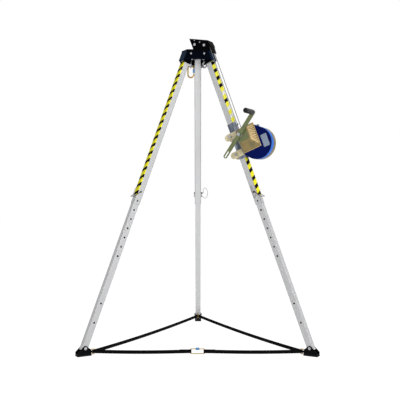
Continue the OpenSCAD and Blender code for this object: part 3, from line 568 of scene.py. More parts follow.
@dataclass(frozen=True)
class TubeFinish(Finish):
    """Drawn tube along a leg, dull, with painted shade darkening its bore."""

    foot: tuple[float, float, float] = (0.0, 0.0, 0.0)
    bore: float = 0.02
    bore_shade: Colour = (0.012, 0.012, 0.012)

    def material(self) -> bpy.types.Material:
        """Builds the material with painted shade in its bore.

        Returns:
            The finished material.
        """
        material, sheet, shader = self.sheet()
        group = self.surface(sheet)
        places = sheet.add("ShaderNodeTexCoord")
        local = sheet.add("ShaderNodeMapping", vector_type="TEXTURE")
        local.inputs["Location"].default_value = self.foot
        local.inputs["Rotation"].default_value = self.turn
        sheet.join(places.outputs["Object"], local.inputs["Vector"])
        apart = sheet.add("ShaderNodeSeparateXYZ")
        sheet.join(local.outputs["Vector"], apart.inputs[0])
        out, side = (sheet.math("ABSOLUTE", apart.outputs[axis]) for axis in "XY")
        reach = sheet.math("MAXIMUM", out, side)
        inside = sheet.math("LESS_THAN", reach, self.bore)
        # Painted shade: points inside the bore take the near-black bore colour.
        tone = sheet.mix(inside, group.outputs["Colour"], rgba(self.bore_shade))
        sheet.join(tone, shader.inputs["Base Color"])
        sheet.join(group.outputs["Roughness"], shader.inputs["Roughness"])
        self.bump(sheet, shader, group.outputs["Height"], self.depth)
        return material


WINCH_AXIS = STANCE.along(Leg.RIGHT).to_3x3() @ Vector((0, -1, 0))
LEG_TURN = {leg: STANCE.along(leg).to_euler() for leg in Leg}
# Painted light and shade: each leg's aluminium colour is scaled brighter or darker for how the light falls on that leg.
LEG_PAINTED_LIGHT = {Leg.LEFT: 0.88, Leg.RIGHT: 0.92, Leg.REAR: 1.22}

BLACK_PAINT = Finish("black_paint", (0.001, 0.001, 0.0014), (0.002, 0.002, 0.0026), (0.008, 0.008, 0.009),
                     roughness=0.42, grain=900.0, depth=0.1, specular=0.012, scuffing=0.2)
# Navy paint with painted light: the skirt's side walls are painted a lighter navy than its front, as if lit.
NAVY_PAINT = LitWallFinish("navy_paint", (0.001, 0.0016, 0.004), (0.0014, 0.003, 0.008), (0.008, 0.012, 0.02),
                       roughness=0.42, grain=900.0, depth=0.1, specular=0.014, scuffing=0.15,
                       rim=(0.003, 0.03, 0.085), axis=(0.0, -1.0, 0.0))
ZINC = Finish("zinc_plate", (0.4, 0.41, 0.43), (0.26, 0.27, 0.29), (0.2, 0.19, 0.18), metallic=0.9,
              roughness=0.34, grain=1400.0, blotch=40.0, variation=0.5, depth=0.05)
SHEAVE = Finish("turned_sheave", (0.34, 0.35, 0.36), (0.22, 0.22, 0.23), (0.5, 0.5, 0.5), metallic=0.9,
                roughness=0.36, grain=1600.0, blotch=60.0)
GOLD_STEEL = Finish("gold_steel", (0.46, 0.3, 0.085), (0.32, 0.23, 0.08), (0.3, 0.28, 0.22), metallic=0.85,
                    roughness=0.32, grain=1200.0, blotch=55.0, variation=0.6)
GOLD_SHEET = Finish("gold_sheet", (0.3, 0.215, 0.08), (0.17, 0.15, 0.07), (0.6, 0.46, 0.24), metallic=0.6,
                    roughness=0.34, grain=900.0, blotch=22.0, variation=0.9, scuffing=0.3)
# Painted light: the ridges and rim are a much lighter gold than the cover's sheet, as on a lit face.
GOLD_RIDGE_LIT = Finish("gold_ridge_lit", (0.68, 0.5, 0.25), (0.5, 0.37, 0.17), (0.8, 0.68, 0.44), metallic=0.35,
                    roughness=0.5, grain=900.0, blotch=12.0, variation=0.35, scuffing=0.08)
OLIVE_PLATE = Finish("olive_plate", (0.16, 0.19, 0.085), (0.12, 0.14, 0.06), (0.34, 0.32, 0.18), metallic=0.3,
                     roughness=0.42, grain=900.0, blotch=26.0, variation=0.7, specular=0.3)
CREAM_CUP = Finish("cream_cup", (0.76, 0.68, 0.46), (0.46, 0.4, 0.24), (0.2, 0.16, 0.09), metallic=0.3,
                   roughness=0.38, grain=900.0, blotch=30.0, variation=0.8)
# Painted reflection: near-black streaks stretched along the bracket stand in for the reflections in its plating.
PLATED = Finish("plated_bracket", (0.3, 0.34, 0.42), (0.006, 0.009, 0.018), (0.015, 0.018, 0.03), metallic=0.7,
                roughness=0.28, grain=260.0, blotch=48.0, variation=0.95, scuffing=0.6,
                stretch=(1.0, 1.0, 14.0), turn=tuple(LEG_TURN[Leg.RIGHT]))
BLUE_ANODISE = Finish("blue_sleeve", (0.09, 0.26, 0.5), (0.06, 0.18, 0.38), (0.4, 0.45, 0.5), metallic=0.6,
                      roughness=0.35, grain=1500.0, blotch=70.0)
# Blue paint with painted light: the wall round the gear cover's face is painted bright blue, as if lit.
BLUE_PAINT = LitWallFinish("blue_paint", (0.0015, 0.006, 0.082), (0.0015, 0.008, 0.11), (0.02, 0.04, 0.16),
                       roughness=0.3, grain=700.0, blotch=16.0, variation=0.5, depth=0.05, specular=0.035,
                       rim=(0.036, 0.165, 0.64), axis=tuple(WINCH_AXIS))
BRONZE = Finish("bronze_pin", (0.045, 0.024, 0.017), (0.085, 0.048, 0.03), (0.2, 0.14, 0.09), metallic=0.25,
                roughness=0.45, grain=1300.0, blotch=60.0, variation=0.6)
RUBBER = Finish("foot_rubber", (0.005, 0.005, 0.005), (0.01, 0.01, 0.01), (0.04, 0.036, 0.034), roughness=0.8,
                grain=1500.0, blotch=30.0, depth=0.25, scuffing=0.5, specular=0.15)
SHOE_PAINT = Finish("shoe_paint", (0.002, 0.0022, 0.0028), (0.004, 0.0042, 0.005), (0.03, 0.03, 0.03),
                    roughness=0.46, grain=1000.0, blotch=28.0, scuffing=0.25, specular=0.03)
DRUM_METAL = Finish("drum_metal", (0.42, 0.4, 0.34), (0.32, 0.3, 0.24), (0.2, 0.2, 0.18), metallic=0.8,
                    roughness=0.42)
GRIP_PLASTIC = Finish("grip_plastic", (0.004, 0.004, 0.004), (0.008, 0.008, 0.008), (0.02, 0.02, 0.02),
                      roughness=0.26, grain=1800.0, blotch=60.0, depth=0.04, specular=0.2)
LABEL_METAL = Finish("bare_label", (0.27, 0.33, 0.42), (0.2, 0.25, 0.34), (0.14, 0.18, 0.27), metallic=0.2,
                     roughness=0.5, grain=1600.0, blotch=90.0, variation=0.7, specular=0.3)
STEEL_ROPE = StrandFinish("steel_rope", (0.26, 0.26, 0.27), (0.17, 0.17, 0.18), (0.12, 0.12, 0.12), metallic=0.5,
                          roughness=0.45, groove_shade=(0.05, 0.05, 0.05), specular=0.3)
LANYARD_WIRE = StrandFinish("lanyard_wire", (0.14, 0.15, 0.17), (0.1, 0.11, 0.12), (0.08, 0.08, 0.08), metallic=0.3,
                            roughness=0.45, lay=0.012, groove_shade=(0.04, 0.04, 0.05), specular=0.3)
WEBBING = WebFinish("black_webbing", (0.0018, 0.0018, 0.0022), (0.005, 0.005, 0.0058), (0.014, 0.013, 0.013),
                    roughness=0.8, grain=900.0, blotch=18.0, scuffing=0.3, specular=0.04)
TAPE = TapeFinish("hazard_tape", (0.98, 0.92, 0.03), (0.86, 0.78, 0.03), (0.9, 0.88, 0.5), roughness=0.45,
                  grain=700.0, blotch=20.0, scuffing=0.1, depth=0.03, specular=0.012)
TAPE_WORN = TapeFinish("hazard_tape_worn", (0.98, 0.93, 0.06), (0.88, 0.82, 0.1), (0.92, 0.9, 0.66), roughness=0.45,
                       grain=700.0, blotch=20.0, scuffing=0.3, depth=0.03, specular=0.012,
                       worn=((1.88, 1.94), (1.6, 1.82)))


def leg_finish(leg: Leg, half: float, word: str) -> TubeFinish:
    """Drawn aluminium with its lines along a leg, for a tube of a half width, its colours scaled per leg as painted
    light and shade.

    Args:
        leg: Leg of the tube.
        half: Half of the tube's width.
        word: Word for the tube in the finish's name.

    Returns:
        The finish.
    """
    # Painted light and shade: the leg's factor scales all three colours.
    tone = LEG_PAINTED_LIGHT[leg]
    return TubeFinish(f"drawn_{word}_{leg.word}", (0.57 * tone, 0.575 * tone, 0.58 * tone),
                      (0.5 * tone, 0.505 * tone, 0.515 * tone), (0.42 * tone, 0.42 * tone, 0.43 * tone),
                      metallic=0.25, roughness=0.42, swing=0.12, grain=500.0, blotch=7.0, variation=0.2,
                      scuffing=0.06, depth=0.03, specular=0.35, stretch=(1.0, 1.0, 24.0),
                      turn=tuple(LEG_TURN[leg]), foot=tuple(STANCE.along(leg).translation), bore=half - 0.0009)


class Dresser:
    """Gives CAD nodes and pieces their materials, each finish built once."""

    def __init__(self, nodes: dict[str, bpy.types.Object]) -> None:
        """Keeps the CAD nodes by name."""
        self.nodes = nodes
        self.made: dict[str, bpy.types.Material] = {}

    def material(self, finish: Finish) -> bpy.types.Material:
        """The finish's material, built at its first use.

        Args:
            finish: The finish.

        Returns:
            Its material.
        """
        if finish.name not in self.made:
            self.made[finish.name] = finish.material()
        return self.made[finish.name]

    def node(self, finish: Finish, *names: str) -> None:
        """Puts a finish on CAD nodes.

        Args:
            finish: The finish.
            *names: Names of the nodes.
        """
        for name in names:
            slots = self.nodes[name].data.materials
            slots.clear()
            slots.append(self.material(finish))
            LOG.info("node %s: %s", name, finish.name)

    def piece(self, obj: bpy.types.Object, finish: Finish) -> bpy.types.Object:
        """Puts a finish on a piece of the scene.

        Args:
            obj: The piece.
            finish: The finish.

        Returns:
            The same piece.
        """
        obj.data.materials.append(self.material(finish))
        LOG.info("piece %s: %s", obj.name, finish.name)
        return obj


# Meshes


def mesh_piece(name: str, verts: Sequence[Vector], faces: Sequence[Sequence[int]],
               uvs: Sequence[Sequence[tuple[float, float]]] | None = None, smooth: bool = True) -> bpy.types.Object:
    """Makes an object from points and faces.

    Args:
        name: Name of the piece.
        verts: Points in the row frame.
        faces: Corners of each face.
        uvs: Texture places of each face's corners.
        smooth: Whether the faces are shaded smooth.

    Returns:
        The new object.
    """
    mesh = bpy.data.meshes.new(name)
    mesh.from_pydata([tuple(v) for v in verts], [], [list(f) for f in faces])
    if uvs is not None:
        layer = mesh.uv_layers.new(name="UVMap")
        for polygon, places in zip(mesh.polygons, uvs):
            for loop, place in zip(polygon.loop_indices, places):
                layer.data[loop].uv = place
    for polygon in mesh.polygons:
        polygon.use_smooth = smooth and len(polygon.vertices) < 5
    obj = bpy.data.objects.new(name, mesh)
    bpy.context.scene.collection.objects.link(obj)
    return obj


def sweep(
    name: str, rings: Sequence[Sequence[Vector]], lengths: Sequence[float], girth: Sequence[float]
) -> bpy.types.Object:
    """Skins closed rings of points into a capped solid.

    Args:
        name: Name of the piece.
        rings: Rings of points, each with the same count.
        lengths: Texture place of each ring along the piece.
        girth: Texture place of each point round the ring, with one more for the way back to the first.

    Returns:
        The new object.
    """
    count = len(rings[0])
    verts = [point for ring in rings for point in ring]
    faces: list[list[int]] = []
    uvs: list[list[tuple[float, float]]] = []
    for i in range(len(rings) - 1):
        for k in range(count):
            nxt = (k + 1) % count
            faces.append([i * count + k, i * count + nxt, (i + 1) * count + nxt, (i + 1) * count + k])
            uvs.append([(lengths[i], girth[k]), (lengths[i], girth[k + 1]),
                        (lengths[i + 1], girth[k + 1]), (lengths[i + 1], girth[k])])
    last = (len(rings) - 1) * count
    faces.append(list(range(count - 1, -1, -1)))
    uvs.append([(lengths[0], girth[k]) for k in range(count - 1, -1, -1)])
    faces.append([last + k for k in range(count)])
    uvs.append([(lengths[-1], girth[k]) for k in range(count)])
    return mesh_piece(name, verts, faces, uvs)


def run_lengths(path: Sequence[Vector]) -> list[float]:
    """Distance of each point of a path from its start.

    Args:
        path: Points of the path.

    Returns:
        One distance for each point.
    """
    total = [0.0]
    for a, b in zip(path, path[1:]):
        total.append(total[-1] + (b - a).length)
    return total


def tube(name: str, path: Sequence[Vector], diameter: float, sides: int = 10) -> bpy.types.Object:
    """Sweeps a round tube along a path without twisting it.

    Args:
        name: Name of the piece.
        path: Points of its centre line.
        diameter: Diameter of the tube.
        sides: Points round the tube.

    Returns:
        The new object.
    """
    rings: list[list[Vector]] = []
    normal = Vector((0.3, 0.2, 0.9))
    for i in range(len(path)):
        ahead = (path[min(i + 1, len(path) - 1)] - path[max(i - 1, 0)]).normalized()
        normal = (normal - ahead * normal.dot(ahead)).normalized()
        side = ahead.cross(normal)
        rings.append([
            path[i] + (normal * math.cos(k * math.tau / sides) + side * math.sin(k * math.tau / sides)) * diameter / 2
            for k in range(sides)
        ])
    return sweep(name, rings, run_lengths(path), [k / sides for k in range(sides + 1)])


def rounded_line(points: Sequence[Vector], per_span: int = 6) -> list[Vector]:
    """Draws a smooth curve through points.

    Args:
        points: Points on the curve.
        per_span: Steps between two points.

    Returns:
        The points of the curve.
    """
    line: list[Vector] = []
    for i in range(len(points) - 1):
        before, a, b, after = points[max(i - 1, 0)], points[i], points[i + 1], points[min(i + 2, len(points) - 1)]
        for k in range(per_span):
            t = k / per_span
            line.append(0.5 * (2 * a + (b - before) * t + (2 * before - 5 * a + 4 * b - after) * t ** 2
                               + (3 * a - before - 3 * b + after) * t ** 3))
    line.append(points[-1].copy())
    return line


def bevelled(name: str, build: Callable[[bmesh.types.BMesh], None], bevel: float, place: Matrix) -> bpy.types.Object:
    """Makes a solid in mesh code and rounds its edges.

    Args:
        name: Name of the piece.
        build: Function that adds the solid's faces.
        bevel: Width of the rounding.
        place: Frame that the solid is built in.

    Returns:
        The new object, with its points in the row frame.
    """
    work = bmesh.new()
    build(work)
    sharp = [e for e in work.edges if len(e.link_faces) == 2 and e.calc_face_angle(0.0) > 0.6]
    bmesh.ops.bevel(work, geom=sharp, offset=bevel, segments=2, affect="EDGES", profile=0.5)
    work.transform(place)
    bmesh.ops.recalc_face_normals(work, faces=work.faces)
    mesh = bpy.data.meshes.new(name)
    work.to_mesh(mesh)
    work.free()
    obj = bpy.data.objects.new(name, mesh)
    bpy.context.scene.collection.objects.link(obj)
    return obj


def prism(work: bmesh.types.BMesh, outline: Iterable[tuple[float, float]], low: float, high: float) -> None:
    """Adds a straight solid on an outline.

    Args:
        work: Mesh that takes the solid.
        outline: Corners of the outline.
        low: Level of the base.
        high: Level of the top.
    """
    base = [work.verts.new((x, y, low)) for x, y in outline]
    top = [work.verts.new((v.co.x, v.co.y, high)) for v in base]
    work.faces.new(base[::-1])
    work.faces.new(top)
    for k in range(len(base)):
        nxt = (k + 1) % len(base)
        work.faces.new((base[k], base[nxt], top[nxt], top[k]))


# Sub-assemblies


@dataclass
class Head:
    """Hub, skirt, pulley block and anchors."""

    dresser: Dresser

    def dress(self) -> None:
        """Gives the head's nodes their finishes."""
        put = self.dresser.node
        put(BLACK_PAINT, "hub", "pulley_cheeks", "pulley_hood")
        put(NAVY_PAINT, "skirt")
        put(ZINC, "sheave_axles", "head_bolts", "pivot_bolts", "eye_bolts", "carabiner_gate")
        put(SHEAVE, "sheave_near", "sheave_far", "guide_roller")
        put(GOLD_STEEL, "carabiner_body")
        put(BLUE_ANODISE, "carabiner_sleeve")


@dataclass
class LegSet:
    """One leg: its tubes, locking pin, foot, tape and lanyard."""

    dresser: Dresser
    leg: Leg
    half_width: float = 0.025
    half_depth: float = 0.025
    lower_half: float = 0.022
    corner: float = 0.006
    tape_lift: float = 0.00025
    tape_gap: float = 0.0001
    tape_side: float = 0.0025
    tape_low: float = 1.108
    tape_high: float = 2.16
    bracket_low: float = 1.393
    bracket_high: float = 1.667
    lanyard_wire: float = 0.003
    lanyard_screw: float = 0.003
    pin_end: float = 0.038
    lanyard_route: tuple[tuple[float, float, float], ...] = (
        (0, 0, -24), (0, -4, -24), (1, -10, -31), (2, -19, -42), (3, -30, -47),
        (4, -42, -40), (5, -49, -22), (5, -51, 0), (5, -47, 22), (4, -38, 38),
        (3, -28, 43), (2, -19, 36), (1, -15, 24), (1, -16, 10), (0, -8, 0),
        (0, 0, 0),
    )

    def dress(self) -> None:
        """Gives the leg's nodes their finishes."""
        word, put = self.leg.word, self.dresser.node
        put(leg_finish(self.leg, self.half_width, "upper"), f"upper_tube_{word}")
        put(leg_finish(self.leg, self.lower_half, "lower"), f"lower_tube_{word}")
        put(BRONZE, f"lock_pin_{word}")
        put(SHOE_PAINT, f"foot_shoe_{word}")
        put(RUBBER, f"foot_pad_{word}")
        put(ZINC, f"foot_bolt_{word}")
        put(GOLD_STEEL, f"strap_ring_{word}")

    def profile(self, lift: float) -> list[tuple[float, float]]:
        """Line across the outward face, its two corners and the edges of the side faces, over the tube.

        Args:
            lift: Height of the line over the tube.

        Returns:
            Points across the tube, outward and sideways.
        """
        radius = self.corner + lift
        points = [(self.half_depth - self.corner - self.tape_side, self.half_width + lift)] + [
            (self.half_depth - self.corner + radius * math.cos(a), self.half_width - self.corner + radius * math.sin(a))
            for a in (math.pi / 2 * k / 6 for k in range(6, -1, -1))
        ]
        return points + [(x, -y) for x, y in reversed(points)]

    def tape(self, name: str, low: float, high: float, finish: TapeFinish) -> bpy.types.Object:
        """Lays one length of hazard tape on the outward face.

        Args:
            name: Name of the piece.
            low: Lower end along the leg.
            high: Upper end along the leg.
            finish: The tape's finish.

        Returns:
            The tape.
        """
        place = STANCE.along(self.leg)
        section = self.profile(self.tape_lift) + self.profile(self.tape_gap)[::-1]
        steps = max(2, round((high - low) / 0.06))
        levels = [low + (high - low) * k / steps for k in range(steps + 1)]
        rings = [[place @ Vector((x, y, z)) for x, y in section] for z in levels]
        across = run_lengths([Vector((x, y, 0)) for x, y in self.profile(self.tape_lift)])
        girth = [across[-1] / 2 - d for d in across]
        girth += girth[::-1]
        obj = sweep(name, rings, levels, [*girth, girth[0]])
        self.dresser.piece(obj, finish)
        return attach(obj, f"upper_{self.leg.word}")

    def build_tape(self) -> None:
        """Lays the leg's tape, in two lengths where the winch bracket sits."""
        word = self.leg.word
        if self.leg is Leg.RIGHT:
            self.tape(f"tape_{word}_low", self.tape_low, self.bracket_low, TAPE)
            self.tape(f"tape_{word}_high", self.bracket_high, self.tape_high, TAPE_WORN)
        else:
            self.tape(f"tape_{word}", self.tape_low, self.tape_high, TAPE)

    def lanyard_path(self) -> list[Vector]:
        """Centre line of the lanyard, from its screw to the end of the pin.

        Returns:
            Points of the line.
        """
        place, last = STANCE.along(self.leg), len(self.lanyard_route) - 2
        points = []
        for i, (x, y, z) in enumerate(self.lanyard_route):
            start = self.half_width + self.lanyard_screw if i < last else self.pin_end
            points.append(place @ Vector((x / 1000, y / 1000 - start, STANCE.lock_place + z / 1000)))
        return rounded_line(points, 4)

    def build_lanyard(self) -> None:
        word, path = self.leg.word, self.lanyard_path()
        obj = tube(f"lanyard_{word}", path, self.lanyard_wire)
        self.dresser.piece(obj, LANYARD_WIRE)
        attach(obj, f"upper_{word}")
        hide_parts(f"pin_lanyard_{word}")

    def build(self) -> None:
        """Builds and dresses the leg."""
        self.dress()
        self.build_tape()
        self.build_lanyard()


@dataclass
class BaseStrap:
    """Webbing round the three feet, with its quick link."""

    dresser: Dresser
    width: float = 0.025
    thickness: float = 0.0024
    ring_radius: float = 0.815425
    ring_wire: float = 0.006
    slack: float = 0.0004
    link_half: float = 0.047
    loop_tail: float = 0.075
    tab_length: float = 0.0102
    tab_gap: float = 0.0006
    tab_wave: float = 0.0006
    end_share: float = 0.13
    middle_share: float = 0.6
    edge: float = 0.0007
    heights: dict[Leg, float] = field(default_factory=lambda: {Leg.LEFT: 0.0215, Leg.RIGHT: 0.0215, Leg.REAR: 0.052})
    front_sag: float = 0.006
    side_sag: float = 0.012

    def ring(self, leg: Leg) -> Vector:
        """Middle of the ring's inner bar."""
        return STANCE.spoke(leg) @ Vector((self.ring_radius, 0, self.heights[leg]))

    @property
    def bend(self) -> float:
        """Radius of the webbing's middle round a bar."""
        return self.ring_wire / 2 + self.slack + self.thickness / 2

    def side_way(self, leg: Leg, other: Leg) -> Vector:
        """Level direction from one ring to another."""
        way = self.ring(other) - self.ring(leg)
        return Vector((way.x, way.y, 0)).normalized()

    def outside(self, leg: Leg, other: Leg) -> Vector:
        """Level direction across a run, away from the tripod axis.

        Args:
            leg: Leg where the run starts.
            other: Leg where it ends.

        Returns:
            Direction of length 1.
        """
        way = self.side_way(leg, other)
        across = Vector((-way.y, way.x, 0))
        axis = Vector((0, STANCE.axis_shift, 0))
        middle = (self.ring(leg) + self.ring(other)) / 2
        return across if across.dot(middle - axis) > 0 else -across

    def run(self, leg: Leg, other: Leg) -> list[Vector]:
        """Centre line of the half run from a ring to the middle of the run or to the link.

        Args:
            leg: Leg that holds the ring.
            other: Leg at the other end of the run.

        Returns:
            Points from the ring to the middle.
        """
        front = Leg.REAR not in (leg, other)
        start, finish = self.ring(leg), self.ring(other)
        total = (finish - start).length
        half = total / 2 - (self.link_half if front else 0.0)
        sag = self.front_sag if front else self.side_sag
        lift = self.outside(leg, other) * self.bend
        points = []
        steps = 26
        for k in range(steps + 1):
            u = half / total * k / steps
            share = max(0.0, 1 - 2 * k / steps) if front else 1.0
            point = start.lerp(finish, u) + lift * share
            point.z -= sag * math.sin(math.pi * k / steps) if front else 4 * sag * u * (1 - u)
            points.append(point)
        return points

    def strip(self, name: str, path: Sequence[Vector], start: float) -> bpy.types.Object:
        """Sweeps a strip of webbing, standing on edge, along a path.

        Args:
            name: Name of the piece.
            path: Centre line of the strip.
            start: Length along the strap where the path starts, for the weave.

        Returns:
            The strip.
        """
        half, tall, edge = self.thickness / 2, self.width / 2, self.edge
        section = [(-half, -tall + edge), (-half + edge, -tall), (half - edge, -tall), (half, -tall + edge),
                   (half, tall - edge), (half - edge, tall), (-half + edge, tall), (-half, tall - edge)]
        rings = []
        for i, point in enumerate(path):
            way = path[min(i + 1, len(path) - 1)] - path[max(i - 1, 0)]
            across = Vector((-way.y, way.x, 0)).normalized()
            rings.append([point + across * x + Vector((0, 0, z)) for x, z in section])
        girth = [z for _, z in section]
        return sweep(name, rings, [start + d for d in run_lengths(path)], [*girth, girth[0]])

    def link_loop(self, path: list[Vector], leg: Leg) -> list[Vector]:
        """Takes the front run round the quick link's end bar and back along itself.

        Args:
            path: The run up to the bar.
            leg: Leg that holds the run.

        Returns:
            The whole path with its sewn tail.
        """
        bar = path[-1].copy()
        way = Vector((1 if leg is Leg.LEFT else -1, 0, 0))
        over = Vector((0, -self.bend, 0))
        kept = [p for p in path if (bar - p).dot(way) > 0.02]
        kept = [p.copy() for p in kept]
        for p in kept:
            near = max(0.0, 1 - (bar - p).dot(way) / 0.12)
            p += over * near * near * (3 - 2 * near) * 0.62
        loop = []
        for k in range(11):
            a = math.pi * k / 10
            loop.append(bar + over * math.cos(a) + way * self.bend * math.sin(a))
        tail = []
        for k in range(1, 8):
            d = self.loop_tail * k / 7
            ease = min(1.0, d / 0.022)
            side = self.bend * (1 - ease) - (self.thickness * 0.62 - self.thickness * 0.5) * ease
            tail.append(bar - way * d + Vector((0, side, 0)))
        return kept + loop + tail

    def bar_arc(self, leg: Leg, first: Leg, second: Leg) -> list[Vector]:
        """Bend of the webbing round the outer side of a ring's inner bar.

        Args:
            leg: Leg that holds the ring.
            first: Leg that the bend comes from.
            second: Leg that it goes to.

        Returns:
            Points of the bend.
        """
        bar, start, finish = self.ring(leg), self.outside(leg, first), self.outside(leg, second)
        outward = (start + finish).normalized()
        side = Vector((-outward.y, outward.x, 0))
        a, b = (math.atan2(v.dot(side), v.dot(outward)) for v in (start, finish))
        return [
            bar + (outward * math.cos(a + (b - a) * k / 12) + side * math.sin(a + (b - a) * k / 12)) * self.bend
            for k in range(13)
        ]

    def build_leg(self, leg: Leg) -> None:
        """Lays the strap at one foot: a bend at the ring, and each half run in two lengths.

        Args:
            leg: Leg of the foot.
        """
        word = leg.word
        others = [other for other in Leg if other is not leg]
        ends: list[list[Vector]] = []
        for other in others:
            path = self.run(leg, other)
            first = round(len(path) * self.end_share)
            second = round(len(path) * self.middle_share)
            ends.append(path[: first + 1])
            middle, far = path[first: second + 1], path[second:]
            label = f"strap_{word}_to_{other.word}"
            lengths = run_lengths(path)
            obj = self.strip(f"{label}_near", middle, lengths[first])
            self.finish(obj, word)
            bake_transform(obj)
            if Leg.REAR not in (leg, other):
                far = self.link_loop(far, leg)
            obj = self.strip(f"{label}_far", far, lengths[second])
            self.finish(obj, word)
            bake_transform(obj)
        arc = self.bar_arc(leg, *others)
        whole = ends[0][:0:-1] + arc + ends[1][1:]
        obj = self.strip(f"strap_{word}_bend", whole, 0.0)
        self.finish(obj, word)
        self.build_tab(leg)
        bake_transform(obj)

    def build_tab(self, leg: Leg) -> None:
        """Fills a ring with the sewn tab that holds it to the shoe.

        Args:
            leg: Leg of the ring.
        """
        place, start = STANCE.spoke(leg), self.ring_radius + self.bend + self.thickness / 2 + self.tab_gap
        path = [
            place @ Vector((start + self.tab_length * k / 6, self.tab_wave * math.sin(k), self.heights[leg]))
            for k in range(7)
        ]
        obj = self.strip(f"strap_{leg.word}_tab", path, 0.0)
        self.dresser.piece(obj, WEBBING)
        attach(obj, f"foot_{leg.word}")

    def finish(self, obj: bpy.types.Object, word: str) -> None:
        """Gives a length of strap its material and hides the solid that it stands for.

        Args:
            obj: The length of strap.
            word: Word of its leg.
        """
        self.dresser.piece(obj, WEBBING)
        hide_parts(f"base_strap_{word}")

    def build(self) -> None:
        """Builds the strap and dresses its link."""
        self.dresser.node(GOLD_STEEL, "quick_link")
        self.dresser.node(BLUE_ANODISE, "link_nut")
        for leg in Leg:
            self.build_leg(leg)


@dataclass
class Winch:
    """Winch on the right leg, its rope and its details."""

    dresser: Dresser
    drum_reach: float = 0.146
    drum_place: float = 1.451
    cover_front: float = 0.036
    sheave_at: tuple[float, float] = (0.078, 0.034)
    roller_at: tuple[float, float] = (-0.002, 0.047)
    sheave_radius: float = 0.030
    roller_rope: float = 0.0225
    fall_offset: float = 0.0235
    rope: float = 0.005
    bight_drop: float = 0.08
    park_place: float = 0.188
    park_end: float = 0.0343
    winding_back: float = -0.0334
    winding_width: float = 0.0258
    brake_depth: float = 0.05
    rim_low: tuple[float, float] = (-0.115, -0.03)
    rim_high: tuple[float, float] = (0.025, 0.146)
    face_low: tuple[float, float] = (-0.104, 0.037)
    face_high: tuple[float, float] = (-0.018, 0.124)
    ridges: int = 10
    ridge_width: float = 0.0075
    label_low: tuple[float, float] = (0.044, -0.052)
    label_high: tuple[float, float] = (0.09, 0.038)

    def frame(self) -> Matrix:
        """Winch frame: x outward from the leg, y up the leg, z along the drum axis to the crank side."""
        shift = Matrix.Translation((self.drum_reach, 0, self.drum_place))
        return STANCE.along(Leg.RIGHT) @ shift @ Matrix.Rotation(math.radians(90), 4, "X")

    def dress(self) -> None:
        """Gives the winch's nodes their finishes."""
        put = self.dresser.node
        put(PLATED, "leg_bracket")
        put(ZINC, "bracket_pin_upper", "bracket_pin_lower", "drum_axle", "drum_gear", "crank_shaft", "rope_eye")
        put(CREAM_CUP, "clamp_ears")
        put(GOLD_SHEET, "winch_frame", "brake_cover")
        put(BLUE_PAINT, "gear_cover")
        put(DRUM_METAL, "drum")
        put(OLIVE_PLATE, "crank_arm")
        put(GRIP_PLASTIC, "crank_grip")

    def to_leg(self, point: tuple[float, float]) -> Vector:
        """Takes a point of the pulley block into the right leg's frame.

        Args:
            point: Place in the block, outward and up.

        Returns:
            Place in the leg's frame, outward and along.
        """
        across = point[0] - STANCE.pivot_radius
        rise = STANCE.plate_rise + point[1]
        c, s = math.cos(STANCE.leg_tilt), math.sin(STANCE.leg_tilt)
        return Vector((across * c + rise * s, STANCE.leg_reach - across * s + rise * c))

    @property
    def rope_out(self) -> float:
        """Distance of the rope's falls from the leg axis."""
        return self.to_leg(self.sheave_at).x + self.sheave_radius

    def rope_path(self) -> list[Vector]:
        """Centre line of the rope, from the drum over the head and back to its eye.

        Returns:
            Points in the row frame.
        """
        sheave, roller = self.to_leg(self.sheave_at), self.to_leg(self.roller_at)
        gap = roller - sheave
        crossing = math.atan2(gap.y, gap.x) - math.acos((self.sheave_radius - self.roller_rope) / gap.length)
        drop = math.pi - STANCE.leg_tilt
        down = Vector((math.sin(STANCE.leg_tilt), math.cos(STANCE.leg_tilt)))

        def polar(radius: float, angle: float) -> Vector:
            """A point on a circle round the origin."""
            return Vector((radius * math.cos(angle), radius * math.sin(angle)))

        rise = sheave.y - self.drum_place
        half = [Vector((self.rope_out, self.drum_place + rise * k / 24)) for k in range(24)]
        half += [sheave + polar(self.sheave_radius, crossing * k / 12) for k in range(13)]
        half += [roller + polar(self.roller_rope, crossing + (drop - crossing) * k / 12) for k in range(13)]
        tangent = half[-1].copy()
        half += [tangent - down * self.bight_drop * k / 4 for k in range(1, 5)]
        low = half[-1]
        route = [Vector((p.x, self.fall_offset, p.y)) for p in half]
        for k in range(1, 12):
            a = math.pi * k / 12
            p = low - down * self.fall_offset * math.sin(a)
            route.append(Vector((p.x, self.fall_offset * math.cos(a), p.y)))
        end = self.drum_place + self.park_place + self.park_end
        route += [Vector((p.x, -self.fall_offset, p.y)) for p in reversed(half) if p.y > end + 0.01]
        route.append(Vector((self.rope_out, -self.fall_offset, end)))
        place = STANCE.along(Leg.RIGHT)
        return [place @ p for p in route]

    def build_rope(self) -> None:
        """Makes the rope, from the drum over the head and back down to its eye."""
        path = self.rope_path()
        obj = tube("wire_rope_run", path, self.rope)
        self.dresser.piece(obj, STEEL_ROPE)
        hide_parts("wire_rope")
        place = STANCE.along(Leg.RIGHT)
        top = self.to_leg(self.sheave_at).y
        place @ Vector((self.rope_out, 0, top))
        place @ Vector((self.rope_out, 0, top - 0.45))
        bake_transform(obj)

    def build_winding(self) -> None:
        """Winds the rope's outer layer on the drum."""
        place = self.frame()
        turns = 5
        pitch = self.winding_width / turns
        radius = self.drum_reach - self.rope_out - self.rope - 0.0005
        steps = 40 * turns
        path = []
        for k in range(steps + 1):
            a = math.tau * turns * k / steps
            z = self.winding_back + pitch / 2 + (self.winding_width - pitch) * k / steps
            path.append(place @ Vector((radius * math.cos(a), radius * math.sin(a), z)))
        obj = tube("rope_turns", path, self.rope, 8)
        self.dresser.piece(obj, STEEL_ROPE)
        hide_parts("rope_winding")
        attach(obj, "drum")

